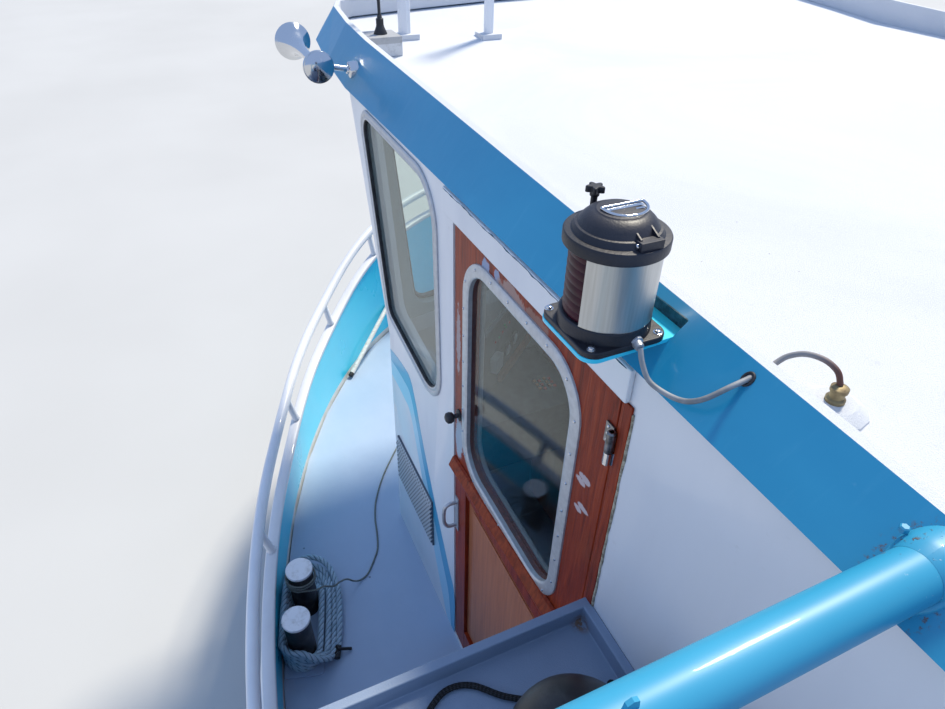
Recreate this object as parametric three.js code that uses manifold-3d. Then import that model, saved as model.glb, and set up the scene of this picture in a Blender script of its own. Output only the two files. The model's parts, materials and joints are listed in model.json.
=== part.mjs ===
// Canal tour boat with a forward wheelhouse, afloat. Millimetres, +X to the bow, +Y to port, +Z up.
// The origin lies on the waterline, amidships, in the centre plane.
import * as THREE from "three";
import { mergeVertices } from "three/addons/utils/BufferGeometryUtils.js";
import Module from "manifold-3d";

const wasm = await Module();
wasm.setup();

// Driving dimensions
const GAP = 0.3; // between pieces that touch
const DECK = 700; // top of the deck above the waterline
const DECK_PLATE = 40;
const HULL_TOP = DECK - DECK_PLATE - GAP;
const HOUSE_HALF = 1300; // outer face of the deckhouse wall from the centre plane
const WALL = 60;
const ROOF = { under: 2624, top: 2664, aft: -6900, kink: 8030, front: 8900, lift: 0.075 };
const WALL_TOP = ROOF.under - GAP;
const SALOON = { aft: -6200, front: 5540, floor: 500, floorPlate: 50 };
const WHEELHOUSE = { aft: 5600, foot: 7800, knee: 7755, kneeZ: 1800, top: 8025 };
const DOOR = { aft: 6410, fore: 7125, sill: 718, head: 2536, leaf: 40, seam: 6 };
const AFT_DOOR = { half: 380, sill: 718, head: 2536 };

// The boat's outline at deck level: half an ellipse at the bow, a rounder curve at the stern
const PLAN = { tip: 9600, bow: 6344, half: 2050, quarter: -8200, stern: -9600, bowPower: 2, sternPower: 2.6 };
const BOW_STEPS = 12;
const STERN_STEPS = 7;
const SIDE_XS = [3000, -1000, -5000];

// Hull shape, one waterline a row, from the flat bottom up to the deck edge
const LEVELS = [
  { z: -900, tip: 6900, bow: 3200, half: 1250, quarter: -5600, stern: -7250, bowPower: 1.7 },
  { z: -760, tip: 7800, bow: 3300, half: 1680, quarter: -6000, stern: -7500, bowPower: 1.7 },
  { z: -500, tip: 8600, bow: 3600, half: 1930, quarter: -6300, stern: -7800, bowPower: 1.75 },
  { z: -170, tip: 9050, bow: 4200, half: 2030, quarter: -6800, stern: -8250, bowPower: 1.8 },
  { z: -110, tip: 9110, bow: 4400, half: 2040, quarter: -8000, stern: -9470, bowPower: 1.8 },
  { z: 150, tip: 9330, bow: 5100, half: 2075, quarter: -8150, stern: -9560, bowPower: 1.85 },
  { z: 450, tip: 9540, bow: 5900, half: 2095, quarter: -8200, stern: -9630, bowPower: 1.95 },
];
const SIDE_PLATE = { out: 50, z: 500 }; // the hull's upright upper edge, outside the outline by this much

// Height of the bulwark's cap above the deck
const SHEER = [[-9800, 330], [-8000, 280], [8150, 280], [8550, 385], [8870, 445], [9200, 600], [9800, 780]];
// Height of the fascia's upper edge above the waterline
const FASCIA_TOP = [[-7100, 2695], [5970, 2700], [7000, 2728], [8300, 2768], [9000, 2790]];

const COLOURS = {
  blue: 0x2b8fc9, cyan: 0x4fb9e6, white: 0xf0f0f2, deck: 0x9fb0c2, roof: 0xeef0f4, wood: 0x7a2e18,
  steel: 0x9aa0a6, black: 0x1b1c20, glass: 0x4a5a58, red: 0x8e1526, green: 0x167a4a, rope: 0x7fb3c4,
  chrome: 0xc8ccd0, seat: 0x2f3f66, bronze: 0xa8874a, antifouling: 0x22262e, grey: 0x6d7378,
};

const boat = new THREE.Group();

// A value read off a table of rows [x, value]
function along(table, x) {
  const next = table.findIndex((row) => row[0] >= x);
  if (next <= 0) return table[next < 0 ? table.length - 1 : 0][1];
  const [x0, v0] = table[next - 1];
  const [x1, v1] = table[next];
  return v0 + ((v1 - v0) * (x - x0)) / (x1 - x0);
}

// A closed geometry as a solid that can be joined and cut
function solid(geometry) {
  const bare = geometry.clone();
  for (const name of Object.keys(bare.attributes)) if (name !== "position") bare.deleteAttribute(name);
  const merged = mergeVertices(bare, 1e-3);
  return new wasm.Manifold(new wasm.Mesh({
    numProp: 3,
    vertProperties: new Float32Array(merged.attributes.position.array),
    triVerts: new Uint32Array(merged.index.array),
  }));
}

function geometryOf(body) {
  const mesh = body.getMesh();
  const geometry = new THREE.BufferGeometry();
  geometry.setAttribute("position", new THREE.BufferAttribute(new Float32Array(mesh.vertProperties), 3));
  geometry.setIndex(new THREE.BufferAttribute(new Uint32Array(mesh.triVerts), 1));
  return geometry;
}

function piece(name, body, colour, roughness = 0.5, metalness = 0) {
  const material = new THREE.MeshStandardMaterial({ color: COLOURS[colour], roughness, metalness });
  if (colour === "glass") Object.assign(material, { transparent: true, opacity: 0.4 });
  const mesh = new THREE.Mesh(body.isBufferGeometry ? body : geometryOf(body), material);
  mesh.name = name;
  boat.add(mesh);
}

const join = (bodies) => bodies.reduce((whole, body) => whole.add(body));
const cut = (body, cutters) => cutters.reduce((rest, cutter) => rest.subtract(cutter), body);

// The same body on the other side of the centre plane
function mirrored(body) {
  const mesh = body.getMesh();
  const points = new Float32Array(mesh.vertProperties);
  for (let i = 1; i < points.length; i += 3) points[i] = -points[i];
  const faces = new Uint32Array(mesh.triVerts);
  for (let i = 0; i < faces.length; i += 3) [faces[i], faces[i + 1]] = [faces[i + 1], faces[i]];
  return new wasm.Manifold(new wasm.Mesh({ numProp: 3, vertProperties: points, triVerts: faces }));
}

function pair(name, body, colour, roughness, metalness) {
  piece(`port_${name}`, body, colour, roughness, metalness);
  piece(`starboard_${name}`, mirrored(body), colour, roughness, metalness);
}

const box = (x0, x1, y0, y1, z0, z1) => solid(new THREE.BoxGeometry(x1 - x0, y1 - y0, z1 - z0)
  .translate((x0 + x1) / 2, (y0 + y1) / 2, (z0 + z1) / 2));

const polygon = (points) => new THREE.Shape(points.map(([a, b]) => new THREE.Vector2(a, b)));

// A polygon whose corners are rounded by the radius in each point's third column
function rounded(points, steps = 3) {
  const out = [];
  points.forEach(([a, b, radius], i) => {
    const here = new THREE.Vector2(a, b);
    if (!radius) { out.push(here); return; }
    const before = new THREE.Vector2(...points.at(i - 1)).sub(here);
    const after = new THREE.Vector2(...points[(i + 1) % points.length]).sub(here);
    const turn = Math.abs(before.angle() - after.angle());
    const reach = radius / Math.tan(Math.min(turn, 2 * Math.PI - turn) / 2);
    const start = before.normalize().multiplyScalar(reach).add(here);
    const end = after.normalize().multiplyScalar(reach).add(here);
    const curve = new THREE.QuadraticBezierCurve(start, here, end);
    out.push(...curve.getPoints(steps));
  });
  return new THREE.Shape(out);
}

const block = (x0, x1, y0, y1, radius) =>
  rounded([[x0, y0, radius], [x1, y0, radius], [x1, y1, radius], [x0, y1, radius]]);

const extruded = (shape, depth) =>
  new THREE.ExtrudeGeometry(shape, { depth, bevelEnabled: false, curveSegments: 6, steps: 1 });

// Extrusions of a shape drawn in plan, in side view (x, z) and in end view (y, z)
const upright = (shape, z0, z1) => solid(extruded(shape, z1 - z0).translate(0, 0, z0));
const athwart = (shape, y0, y1) => solid(extruded(shape, y1 - y0).rotateX(Math.PI / 2).translate(0, y1, 0));
const foreAft = (shape, x0, x1) => solid(extruded(shape, x1 - x0).applyMatrix4(new THREE.Matrix4().makeBasis(
  new THREE.Vector3(0, 1, 0), new THREE.Vector3(0, 0, 1), new THREE.Vector3(1, 0, 0))).translate(x0, 0, 0));

// A round bar between two points
function bar(from, to, radius, sides = 8) {
  const a = new THREE.Vector3(...from);
  const b = new THREE.Vector3(...to);
  const geometry = new THREE.CylinderGeometry(radius, radius, a.distanceTo(b), sides);
  const heading = b.clone().sub(a).normalize();
  const turn = new THREE.Quaternion().setFromUnitVectors(new THREE.Vector3(0, 1, 0), heading);
  return solid(geometry.applyQuaternion(turn).translate(...a.add(b).multiplyScalar(0.5).toArray()));
}

// A round bar bent along a path of points
function bent(points, radius, steps, sides = 10, tension = 0.5) {
  const corners = points.map((p) => new THREE.Vector3(...p));
  const path = new THREE.CatmullRomCurve3(corners, false, "catmullrom", tension);
  const section = new THREE.Shape(Array.from({ length: sides }, (_, i) => {
    const a = (2 * Math.PI * i) / sides;
    return new THREE.Vector2(radius * Math.cos(a), radius * Math.sin(a));
  }));
  return solid(new THREE.ExtrudeGeometry(section, { steps, extrudePath: path, bevelEnabled: false }));
}

// A turned body about the vertical line through (x, y), its profile given as [radius, z]
const turned = (profile, x, y, sides = 12) => solid(new THREE.LatheGeometry(
  profile.map(([r, z]) => new THREE.Vector2(r, z)), sides).rotateX(Math.PI / 2).translate(x, y, 0));

// A skin through rings of equally many points, closed end to end or capped
function loft(rings, endless = false) {
  const count = rings[0].length;
  const faces = [];
  const spans = endless ? rings.length : rings.length - 1;
  for (let i = 0; i < spans; i += 1) {
    const a = i * count;
    const b = ((i + 1) % rings.length) * count;
    for (let j = 0; j < count; j += 1) {
      const k = (j + 1) % count;
      faces.push(a + j, a + k, b + k, a + j, b + k, b + j);
    }
  }
  if (!endless) {
    faces.push(...capFaces(rings[0], 0, true), ...capFaces(rings.at(-1), (rings.length - 1) * count, false));
  }
  const points = rings.flat();
  let volume = 0;
  for (let i = 0; i < faces.length; i += 3) {
    const [p, q, r] = [0, 1, 2].map((k) => new THREE.Vector3(...points[faces[i + k]]));
    volume += p.dot(q.cross(r));
  }
  if (volume < 0) faces.reverse();
  const geometry = new THREE.BufferGeometry();
  geometry.setAttribute("position", new THREE.Float32BufferAttribute(points.flat(), 3));
  geometry.setIndex(faces);
  return solid(geometry);
}

// Triangles over one end of a loft, in the sense that matches the skin's
function capFaces(ring, offset, first) {
  const normal = new THREE.Vector3();
  ring.forEach((p, i) => {
    const q = ring[(i + 1) % ring.length];
    normal.x += (p[1] - q[1]) * (p[2] + q[2]);
    normal.y += (p[2] - q[2]) * (p[0] + q[0]);
    normal.z += (p[0] - q[0]) * (p[1] + q[1]);
  });
  const sizes = normal.toArray().map(Math.abs);
  const drop = sizes.indexOf(Math.max(...sizes));
  const [u, v] = [(drop + 1) % 3, (drop + 2) % 3];
  const sense = normal.getComponent(drop) > 0;
  const flat = ring.map((p) => new THREE.Vector2(p[u], p[v]));
  return THREE.ShapeUtils.triangulateShape(flat, []).flatMap((face) => {
    const [a, b, c] = face;
    const p = flat[a];
    const area = (flat[b].x - p.x) * (flat[c].y - p.y) - (flat[c].x - p.x) * (flat[b].y - p.y);
    const same = (area > 0) === sense;
    return (same !== first ? [a, b, c] : [a, c, b]).map((i) => i + offset);
  });
}

// Points of an outline from the stern tip round the port side to the bow tip, grown outwards
function portSide(row, grow = 0) {
  const out = [];
  const sternPower = 2 / (row.sternPower ?? PLAN.sternPower);
  const bowPower = 2 / row.bowPower;
  for (let i = 0; i <= STERN_STEPS; i += 1) {
    const a = (Math.PI / 2) * (1 - i / STERN_STEPS);
    out.push([row.quarter + (row.stern - grow - row.quarter) * Math.sin(a) ** sternPower,
      (row.half + grow) * Math.cos(a) ** sternPower]);
  }
  for (const x of SIDE_XS.toReversed()) if (x > row.quarter && x < row.bow) out.push([x, row.half + grow]);
  while (out.length < STERN_STEPS + 1 + SIDE_XS.length) {
    out.splice(STERN_STEPS + 1, 0, [(out[STERN_STEPS][0] + out[STERN_STEPS + 1][0]) / 2, row.half + grow]);
  }
  for (let i = 0; i <= BOW_STEPS; i += 1) {
    const a = (Math.PI / 2) * (i / BOW_STEPS);
    out.push([row.bow + (row.tip + grow - row.bow) * Math.sin(a) ** bowPower,
      (row.half + grow) * Math.cos(a) ** bowPower]);
  }
  return out.map(([x, y]) => [x, Math.abs(y) < 1e-6 ? 0 : y]);
}

// The whole closed outline
function outline(row, grow = 0) {
  const port = portSide(row, grow);
  return [...port, ...port.slice(1, -1).reverse().map(([x, y]) => [x, -y])];
}

// Outward unit normals of an open line of plan points
function normals(points) {
  return points.map((_, i) => {
    const a = points[Math.max(i - 1, 0)];
    const b = points[Math.min(i + 1, points.length - 1)];
    const length = Math.hypot(b[0] - a[0], b[1] - a[1]);
    return [-(b[1] - a[1]) / length, (b[0] - a[0]) / length];
  });
}

// The outline moved outwards square to itself
function grown(row, grow) {
  const port = halfBelt(row, () => [[grow, 0]], 0).map(([[x, y]]) => [x, y]);
  return [...port, ...port.slice(1, -1).reverse().map(([x, y]) => [x, -y])];
}

// Half a belt along the port side of an outline; section(x) gives its corners as [outward, z]
function halfBelt(row, section, split = GAP / 2) {
  const line = portSide(row);
  const out = normals(line);
  out[0] = [-1, 0];
  out[out.length - 1] = [1, 0];
  return line.map(([x, y], i) => section(x).map(([n, z]) =>
    [x + n * out[i][0], Math.max(y + n * out[i][1], 0) + split, z]));
}

// The same belt all the way round
function wholeBelt(row, section) {
  const half = halfBelt(row, section, 0);
  const other = half.slice(1, -1).reverse().map((ring) => ring.map(([x, y, z]) => [x, -y, z]));
  return loft([...half, ...other], true);
}

// The hull: a solid steel form with a keel bar and a heel, the saloon's well and the engine's room open above
const SHAFT = { z: -420, radius: 28, bore: 29, aft: -8830, blade: -8735 };
const RUDDER = { x: -9120, stock: 28, bore: 29.2, top: 380, heel: -950, heelTop: -880 };
const ROOM = { x0: -7700, x1: -6500, half: 600, floor: -480 };
const ENGINE = { x0: -7600, x1: -6600, half: 330, top: 330 };
const WELL_HALF = HOUSE_HALF - WALL - 5;

function hull() {
  const edge = grown(PLAN, SIDE_PLATE.out);
  const form = loft([...LEVELS.map((row) => outline(row).map(([x, y]) => [x, y, row.z])),
    ...[SIDE_PLATE.z, HULL_TOP].map((z) => edge.map(([x, y]) => [x, y, z]))]);
  const keel = athwart(polygon([[7600, -740], [6800, -960], [-6500, -960], [-9260, RUDDER.heel],
    [-9260, RUDDER.heelTop], [-8000, RUDDER.heelTop], [-7900, -300], [-7000, -300], [-6000, -850],
    [6800, -850]]), -45, 45);
  const well = box(SALOON.aft + WALL, SALOON.front + WALL - GAP, -WELL_HALF, WELL_HALF,
    SALOON.floor - SALOON.floorPlate - GAP, DECK);
  const room = box(ROOM.x0, ROOM.x1, -ROOM.half, ROOM.half, ROOM.floor, DECK);
  const tunnel = bar([-9000, 0, SHAFT.z], [ROOM.x0 + 10, 0, SHAFT.z], SHAFT.bore, 16);
  const stockHole = bar([RUDDER.x, 0, RUDDER.heel - 20], [RUDDER.x, 0, RUDDER.top + 8], RUDDER.bore, 16);
  return cut(form.add(keel), [well, room, tunnel, stockHole]);
}
piece("hull", hull(), "antifouling", 0.5);

// Rubbing strake round the deck edge
const STRAKE = [[SIDE_PLATE.out + GAP, 520], [95, 535], [110, 575], [110, 605], [95, 645],
  [SIDE_PLATE.out + GAP, HULL_TOP]];
piece("rubbing_strake", wholeBelt(PLAN, () => STRAKE), "white", 0.5);

// Deck plate, open over the saloon and over the engine
const HATCH = { x0: -7670, x1: -7060, half: 420 };
piece("deck", cut(upright(polygon(grown(PLAN, -GAP)), DECK - DECK_PLATE, DECK), [
  box(SALOON.aft + WALL, SALOON.front + WALL, -WELL_HALF, WELL_HALF, 0, DECK + 10),
  box(HATCH.x0, HATCH.x1, -HATCH.half, HATCH.half, 0, DECK + 10),
]), "deck", 0.6);

// Bulwark: an upright plate under a flat cap, rising towards the bow
const CAP = { inner: -10, outer: 36, thick: 25, plate: 30 };
const capHeight = (x) => DECK + along(SHEER, x);
function bulwark() {
  return loft(halfBelt(PLAN, (x) => {
    const top = capHeight(x);
    const under = top - CAP.thick;
    return [[GAP, HULL_TOP + GAP], [CAP.plate, HULL_TOP + GAP], [CAP.plate, under], [CAP.outer, under],
      [CAP.outer, top], [CAP.inner, top], [CAP.inner, under], [GAP, under]];
  }));
}
const bulwarkBody = bulwark();
pair("bulwark", bulwarkBody, "cyan", 0.4);

// Tube rail above the cap, on slanting stanchions, from the side locker to the stem
const RAIL = { aft: 4300, out: 42, foot: 13, rise: 130, radius: 23, post: 16, sides: 6 };
const POST_XS = [4450, 5250, 6050, 6850, 7600, 8300, 8850, 9250];
function bowRail() {
  const line = portSide(PLAN).filter(([x]) => x > SIDE_XS[0]);
  line.unshift([RAIL.aft, PLAN.half]);
  const kept = line.filter(([x]) => x >= RAIL.aft);
  const out = normals(kept);
  out[out.length - 1] = [1, 0];
  const rings = kept.map(([x, y], i) => {
    const centre = [x + RAIL.out * out[i][0], y + RAIL.out * out[i][1], capHeight(x) + RAIL.rise];
    return Array.from({ length: RAIL.sides }, (_, k) => {
      const a = (2 * Math.PI * (k + 0.5)) / RAIL.sides;
      const n = RAIL.radius * Math.cos(a);
      return [centre[0] + n * out[i][0], Math.max(centre[1] + n * out[i][1], 0),
        centre[2] + RAIL.radius * Math.sin(a)];
    });
  });
  const length = PLAN.tip - PLAN.bow;
  const posts = POST_XS.map((x) => {
    const ahead = Math.max(x - PLAN.bow, 0);
    const b = PLAN.half * Math.sqrt(1 - (ahead / length) ** 2);
    const slope = [ahead / length ** 2, b / PLAN.half ** 2];
    const size = Math.hypot(...slope);
    const [nx, ny] = slope.map((s) => s / size);
    return bar([x + RAIL.foot * nx, b + RAIL.foot * ny, capHeight(x) - 6],
      [x + RAIL.out * nx, b + RAIL.out * ny, capHeight(x) + RAIL.rise + 15], RAIL.post, 6);
  });
  const raised = solid(geometryOf(bulwarkBody).translate(0, 0, GAP));
  const port = join([loft(rings), ...posts]).subtract(raised);
  return port.add(mirrored(port));
}
piece("bow_rail", bowRail(), "white", 0.4);

// Saloon floor
piece("saloon_floor", box(SALOON.aft + WALL + GAP, SALOON.front + WALL - 2 * GAP,
  -WELL_HALF + GAP, WELL_HALF - GAP, SALOON.floor - SALOON.floorPlate, SALOON.floor), "grey", 0.7);

// Deckhouse side walls. The saloon's has a row of windows over a rebate for its glass.
const SALOON_WINDOWS = {
  count: 6, width: 1550, pitch: 1830, first: -5820, sill: 1350, head: 2330, radius: 110,
};
const PANE = { skin: 12, thick: 8 };
const saloonWindowX = (i) => SALOON_WINDOWS.first + i * SALOON_WINDOWS.pitch;
const saloonWindowsEnd = saloonWindowX(SALOON_WINDOWS.count - 1) + SALOON_WINDOWS.width;
function saloonWall() {
  const slab = box(SALOON.aft, WHEELHOUSE.aft - GAP, HOUSE_HALF - WALL, HOUSE_HALF, DECK + GAP, WALL_TOP);
  const openings = Array.from({ length: SALOON_WINDOWS.count }, (_, i) => athwart(
    block(saloonWindowX(i), saloonWindowX(i) + SALOON_WINDOWS.width, SALOON_WINDOWS.sill, SALOON_WINDOWS.head,
      SALOON_WINDOWS.radius), HOUSE_HALF - WALL - 10, HOUSE_HALF + 10));
  const rebate = box(SALOON_WINDOWS.first - 40, saloonWindowsEnd + 40,
    HOUSE_HALF - WALL - 10, HOUSE_HALF - PANE.skin, SALOON_WINDOWS.sill - 40, SALOON_WINDOWS.head + 40);
  return cut(slab, [...openings, rebate]);
}
pair("saloon_wall", saloonWall(), "white", 0.45);
pair("saloon_windows", box(SALOON_WINDOWS.first - 40 + GAP, saloonWindowsEnd + 40 - GAP,
  HOUSE_HALF - PANE.skin - PANE.thick, HOUSE_HALF - PANE.skin - GAP,
  SALOON_WINDOWS.sill - 40 + GAP, SALOON_WINDOWS.head + 40 - GAP), "glass", 0.1);

// Hinges that stand proud of a door's outer face: a pin on the wall, a knuckle and its leaf on the door
const HINGE = { proud: 9, pin: 4, bore: 4.5, knuckle: 8, tall: 55, leaf: 28, wallLeaf: 9 };
const HINGE_ZS = [980, 1750, 2420];
function hinges(x, y, leafAlongX) {
  const fixed = [];
  const moving = [];
  for (const z of HINGE_ZS) {
    const middle = z + HINGE.tall / 2;
    fixed.push(bar([x, y, z - HINGE.tall / 2], [x, y, z], HINGE.knuckle),
      bar([x, y, z - 5], [x, y, middle + 20], HINGE.pin));
    const knuckle = bar([x, y, z + 2], [x, y, middle + 20], HINGE.knuckle).subtract(
      bar([x, y, z - 5], [x, y, middle + 30], HINGE.bore));
    if (leafAlongX) {
      fixed.push(box(x - HINGE.wallLeaf, x - 2, y - HINGE.proud - 2, y - 3, z - HINGE.tall / 2, z));
      moving.push(box(x + 5.5, x + HINGE.leaf, y - HINGE.proud - 3, y - 3, z + 2, middle + 20));
    } else {
      fixed.push(box(x + 3, x + HINGE.proud + 2, y + 2, y + HINGE.leaf, z - HINGE.tall / 2, z));
      moving.push(box(x + 3, x + HINGE.proud + 3, y - HINGE.leaf, y - 5.5, z + 2, middle + 20));
    }
    moving.push(knuckle);
  }
  return { fixed, moving };
}
const SIDE_HINGES = hinges(DOOR.aft + 1, HOUSE_HALF + HINGE.proud, true);

// Wheelhouse side wall with the door's opening, the big window beside it and the louvre's hole
const SIDE_WINDOW = [[7895, 2585, 60], [7250, 2575, 130], [7235, 1835, 120], [7735, 1900, 60]];
const LOUVRE = { x0: 7330, x1: 7725, z0: 1030, z1: 1290 };
// The vent's slats stand on the wall as a row of teeth
function louvre() {
  const slats = 9;
  const pitch = (LOUVRE.z1 - LOUVRE.z0 - 40) / slats;
  const y = HOUSE_HALF - 1;
  const points = [[y, LOUVRE.z0], [y + 9, LOUVRE.z0], [y + 9, LOUVRE.z0 + 20]];
  for (let i = 0; i < slats; i += 1) {
    const z = LOUVRE.z0 + 20 + i * pitch;
    points.push([y + 17, z + 4], [y + 5, z + pitch - 2]);
  }
  points.push([y + 9, LOUVRE.z1 - 18], [y + 9, LOUVRE.z1], [y, LOUVRE.z1]);
  return foreAft(polygon(points), LOUVRE.x0, LOUVRE.x1);
}
function wheelhouseWall() {
  const slab = athwart(polygon([[WHEELHOUSE.aft, DECK + GAP], [WHEELHOUSE.foot, DECK + GAP],
    [WHEELHOUSE.knee, WHEELHOUSE.kneeZ], [WHEELHOUSE.top, WALL_TOP], [WHEELHOUSE.aft, WALL_TOP]]),
  HOUSE_HALF - WALL, HOUSE_HALF);
  const [y0, y1] = [HOUSE_HALF - WALL - 10, HOUSE_HALF + 10];
  const doorway = box(DOOR.aft, DOOR.fore, y0, y1, DOOR.sill, DOOR.head);
  const openings = [doorway, athwart(rounded(SIDE_WINDOW), y0, y1)];
  return join([cut(slab, openings), ...SIDE_HINGES.fixed, louvre()]);
}
pair("wheelhouse_wall", wheelhouseWall(), "white", 0.45);

// Side window panes, held near the outer face
const SIDE_PANE = SIDE_WINDOW.map(([x, z, r]) =>
  [x + (x > 7500 ? -GAP : GAP), z + (z > 2200 ? -GAP : GAP), r]);
pair("side_window", athwart(rounded(SIDE_PANE), HOUSE_HALF - 16, HOUSE_HALF - 8), "glass", 0.1);

// Wheelhouse front: upright below the knee, leaning forwards above it, bowed in three facets
const FRONT = { thick: 45, bow: 130, facet: 620 };
const FRONT_FACE = [[DECK + GAP, WHEELHOUSE.foot], [WHEELHOUSE.kneeZ, WHEELHOUSE.knee],
  [WALL_TOP, WHEELHOUSE.top]];
function frontSheet(behind, thick, z0, z1) {
  const zs = [z0, ...(z0 < WHEELHOUSE.kneeZ ? [WHEELHOUSE.kneeZ] : []), z1];
  const face = (depth) => (z) => [along(FRONT_FACE, z) - depth, z];
  const side = [...zs.map(face(behind)), ...zs.toReversed().map(face(behind + thick))];
  const end = HOUSE_HALF - WALL - GAP;
  return loft([[-end, 0], [-FRONT.facet, FRONT.bow], [FRONT.facet, FRONT.bow], [end, 0]].map(([y, forward]) =>
    side.map(([x, z]) => [x + forward, y, z])));
}
const SCREENS = { sill: 1890, head: 2570, radius: 60, inner: 575, from: 665, to: 1190 };
function wheelhouseFront() {
  const window = (y0, y1) => foreAft(block(y0, y1, SCREENS.sill, SCREENS.head, SCREENS.radius), 7500, 8400);
  const middle = window(-SCREENS.inner, SCREENS.inner);
  const side = window(SCREENS.from, SCREENS.to);
  return cut(frontSheet(0, FRONT.thick, DECK + GAP, WALL_TOP), [middle, side, mirrored(side)]);
}
piece("wheelhouse_front", wheelhouseFront(), "white", 0.45);
piece("windscreen", frontSheet(FRONT.thick + GAP, 8, SCREENS.sill - 30, SCREENS.head + 30), "glass", 0.1);

// Bulkhead behind the wheelhouse with an open doorway, and the saloon's aft wall
const PASSAGE = { half: 330, head: 2450 };
const INSIDE = HOUSE_HALF - WALL - GAP;
const BULKHEAD = { x0: SALOON.front - 50, x1: SALOON.front };
const bulkheadCut = (y0, y1, top) => box(BULKHEAD.x0 - 10, BULKHEAD.x1 + 10, y0, y1, 0, top);
piece("wheelhouse_bulkhead", cut(
  box(BULKHEAD.x0, BULKHEAD.x1, -INSIDE, INSIDE, SALOON.floor + GAP, WALL_TOP),
  [bulkheadCut(-PASSAGE.half, PASSAGE.half, PASSAGE.head), bulkheadCut(WELL_HALF - 1, 2000, DECK + GAP),
    bulkheadCut(-2000, 1 - WELL_HALF, DECK + GAP)]), "wood", 0.4);
const AFT_HINGES = hinges(SALOON.aft - HINGE.proud, AFT_DOOR.half - 1, false);
piece("aft_wall", join([cut(box(SALOON.aft, SALOON.aft + WALL, -INSIDE, INSIDE, DECK + GAP, WALL_TOP),
  [box(SALOON.aft - 10, SALOON.aft + WALL + 10, -AFT_DOOR.half, AFT_DOOR.half, AFT_DOOR.sill, AFT_DOOR.head)]),
...AFT_HINGES.fixed]), "white", 0.45);

// Roof plate, rising a little ahead of the windscreen, inside the blue fascia
const roofLift = (x) => Math.max(0, x - ROOF.kink) * ROOF.lift;
// Roof edge from the stern round the port side: plan points of the wall's outer line
const ROOF_EDGE = [[ROOF.aft, 0], [ROOF.aft, 700], [ROOF.aft, 1150], [ROOF.aft + 60, 1260],
  [ROOF.aft + 200, HOUSE_HALF], [-2000, HOUSE_HALF], [2500, HOUSE_HALF], [5970, HOUSE_HALF],
  [7000, HOUSE_HALF], [ROOF.kink, HOUSE_HALF], [8300, 1290], [8580, 1262], [8700, 1215], [8755, 1120],
  [8815, 800], [8875, 400], [ROOF.front, 0]];
const FASCIA = { foot: 12, topOut: -70, topIn: -88, lap: -38, drop: 4 };
// A niche in each side of it, where the side light's bracket is fastened
const NICHE = { x0: 6372, x1: 6532, back: 1237, foot: 2668, head: 2699 };
function fascia() {
  const out = normals(ROOF_EDGE);
  out[0] = [-1, 0];
  out[out.length - 1] = [1, 0];
  const half = ROOF_EDGE.map(([x, y], i) => {
    const lift = roofLift(x);
    const [low, top] = [ROOF.under - FASCIA.drop + lift, along(FASCIA_TOP, x)];
    return [[GAP, low], [FASCIA.foot, low], [FASCIA.topOut, top], [FASCIA.topIn, top],
      [FASCIA.topIn, ROOF.top + GAP + lift], [FASCIA.lap + GAP, ROOF.top + GAP + lift],
      [FASCIA.lap + GAP, ROOF.under + lift], [GAP, ROOF.under + lift]].map(([n, z]) =>
      [x + n * out[i][0], y + n * out[i][1], z]);
  });
  const other = half.slice(1, -1).reverse().map((ring) => ring.map(([x, y, z]) => [x, -y, z]));
  const niche = box(NICHE.x0, NICHE.x1, NICHE.back, HOUSE_HALF + 100, NICHE.foot, NICHE.head);
  return cut(loft([...half, ...other], true), [niche, mirrored(niche)]);
}
const fasciaBody = fascia();
piece("roof_fascia", fasciaBody, "blue", 0.35);

function roof() {
  const out = normals(ROOF_EDGE);
  const half = ROOF_EDGE.map(([x, y], i) => [x + FASCIA.lap * out[i][0], y + FASCIA.lap * out[i][1]]);
  half[0] = [ROOF.aft - FASCIA.lap, 0];
  half[half.length - 1] = [ROOF.front + FASCIA.lap, 0];
  const edge = [...half, ...half.slice(1, -1).reverse().map(([x, y]) => [x, -y])];
  const end = ROOF.front + 200;
  const side = polygon([[ROOF.aft - 100, ROOF.under], [ROOF.kink, ROOF.under],
    [end, ROOF.under + roofLift(end)], [end, ROOF.top + roofLift(end)], [ROOF.kink, ROOF.top], [ROOF.aft - 100, ROOF.top]]);
  return athwart(side, -1500, 1500).intersect(upright(polygon(edge), 2000, 3000));
}
const roofBody = roof();
// Posts at its front edge and a cable's boss with a gland behind the port side light
const roofTop = (x) => ROOF.top + roofLift(x);
const GLAND = { x: 6172, y: 1162, top: ROOF.top + 32, radius: 8 };
const roofWithPosts = join([roofBody,
  bar([8367, 979, roofTop(8367) - 10], [8367, 979, roofTop(8367) + 500], 25),
  box(8322, 8412, 934, 1024, roofTop(8300) - 10, roofTop(8367) + 16),
  bar([8290, 664, roofTop(8290) - 10], [8290, 664, roofTop(8290) + 500], 20),
  box(8250, 8330, 624, 704, roofTop(8240) - 10, roofTop(8290) + 16),
  turned([[0, -10], [46, -10], [46, 3], [28, 14], [0, 14]].map(([r, z]) => [r, ROOF.top + z]),
    GLAND.x, GLAND.y),
  bar([GLAND.x, GLAND.y, ROOF.top], [GLAND.x, GLAND.y, GLAND.top], GLAND.radius)]);
piece("roof", roofWithPosts, "roof", 0.7);

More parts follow.
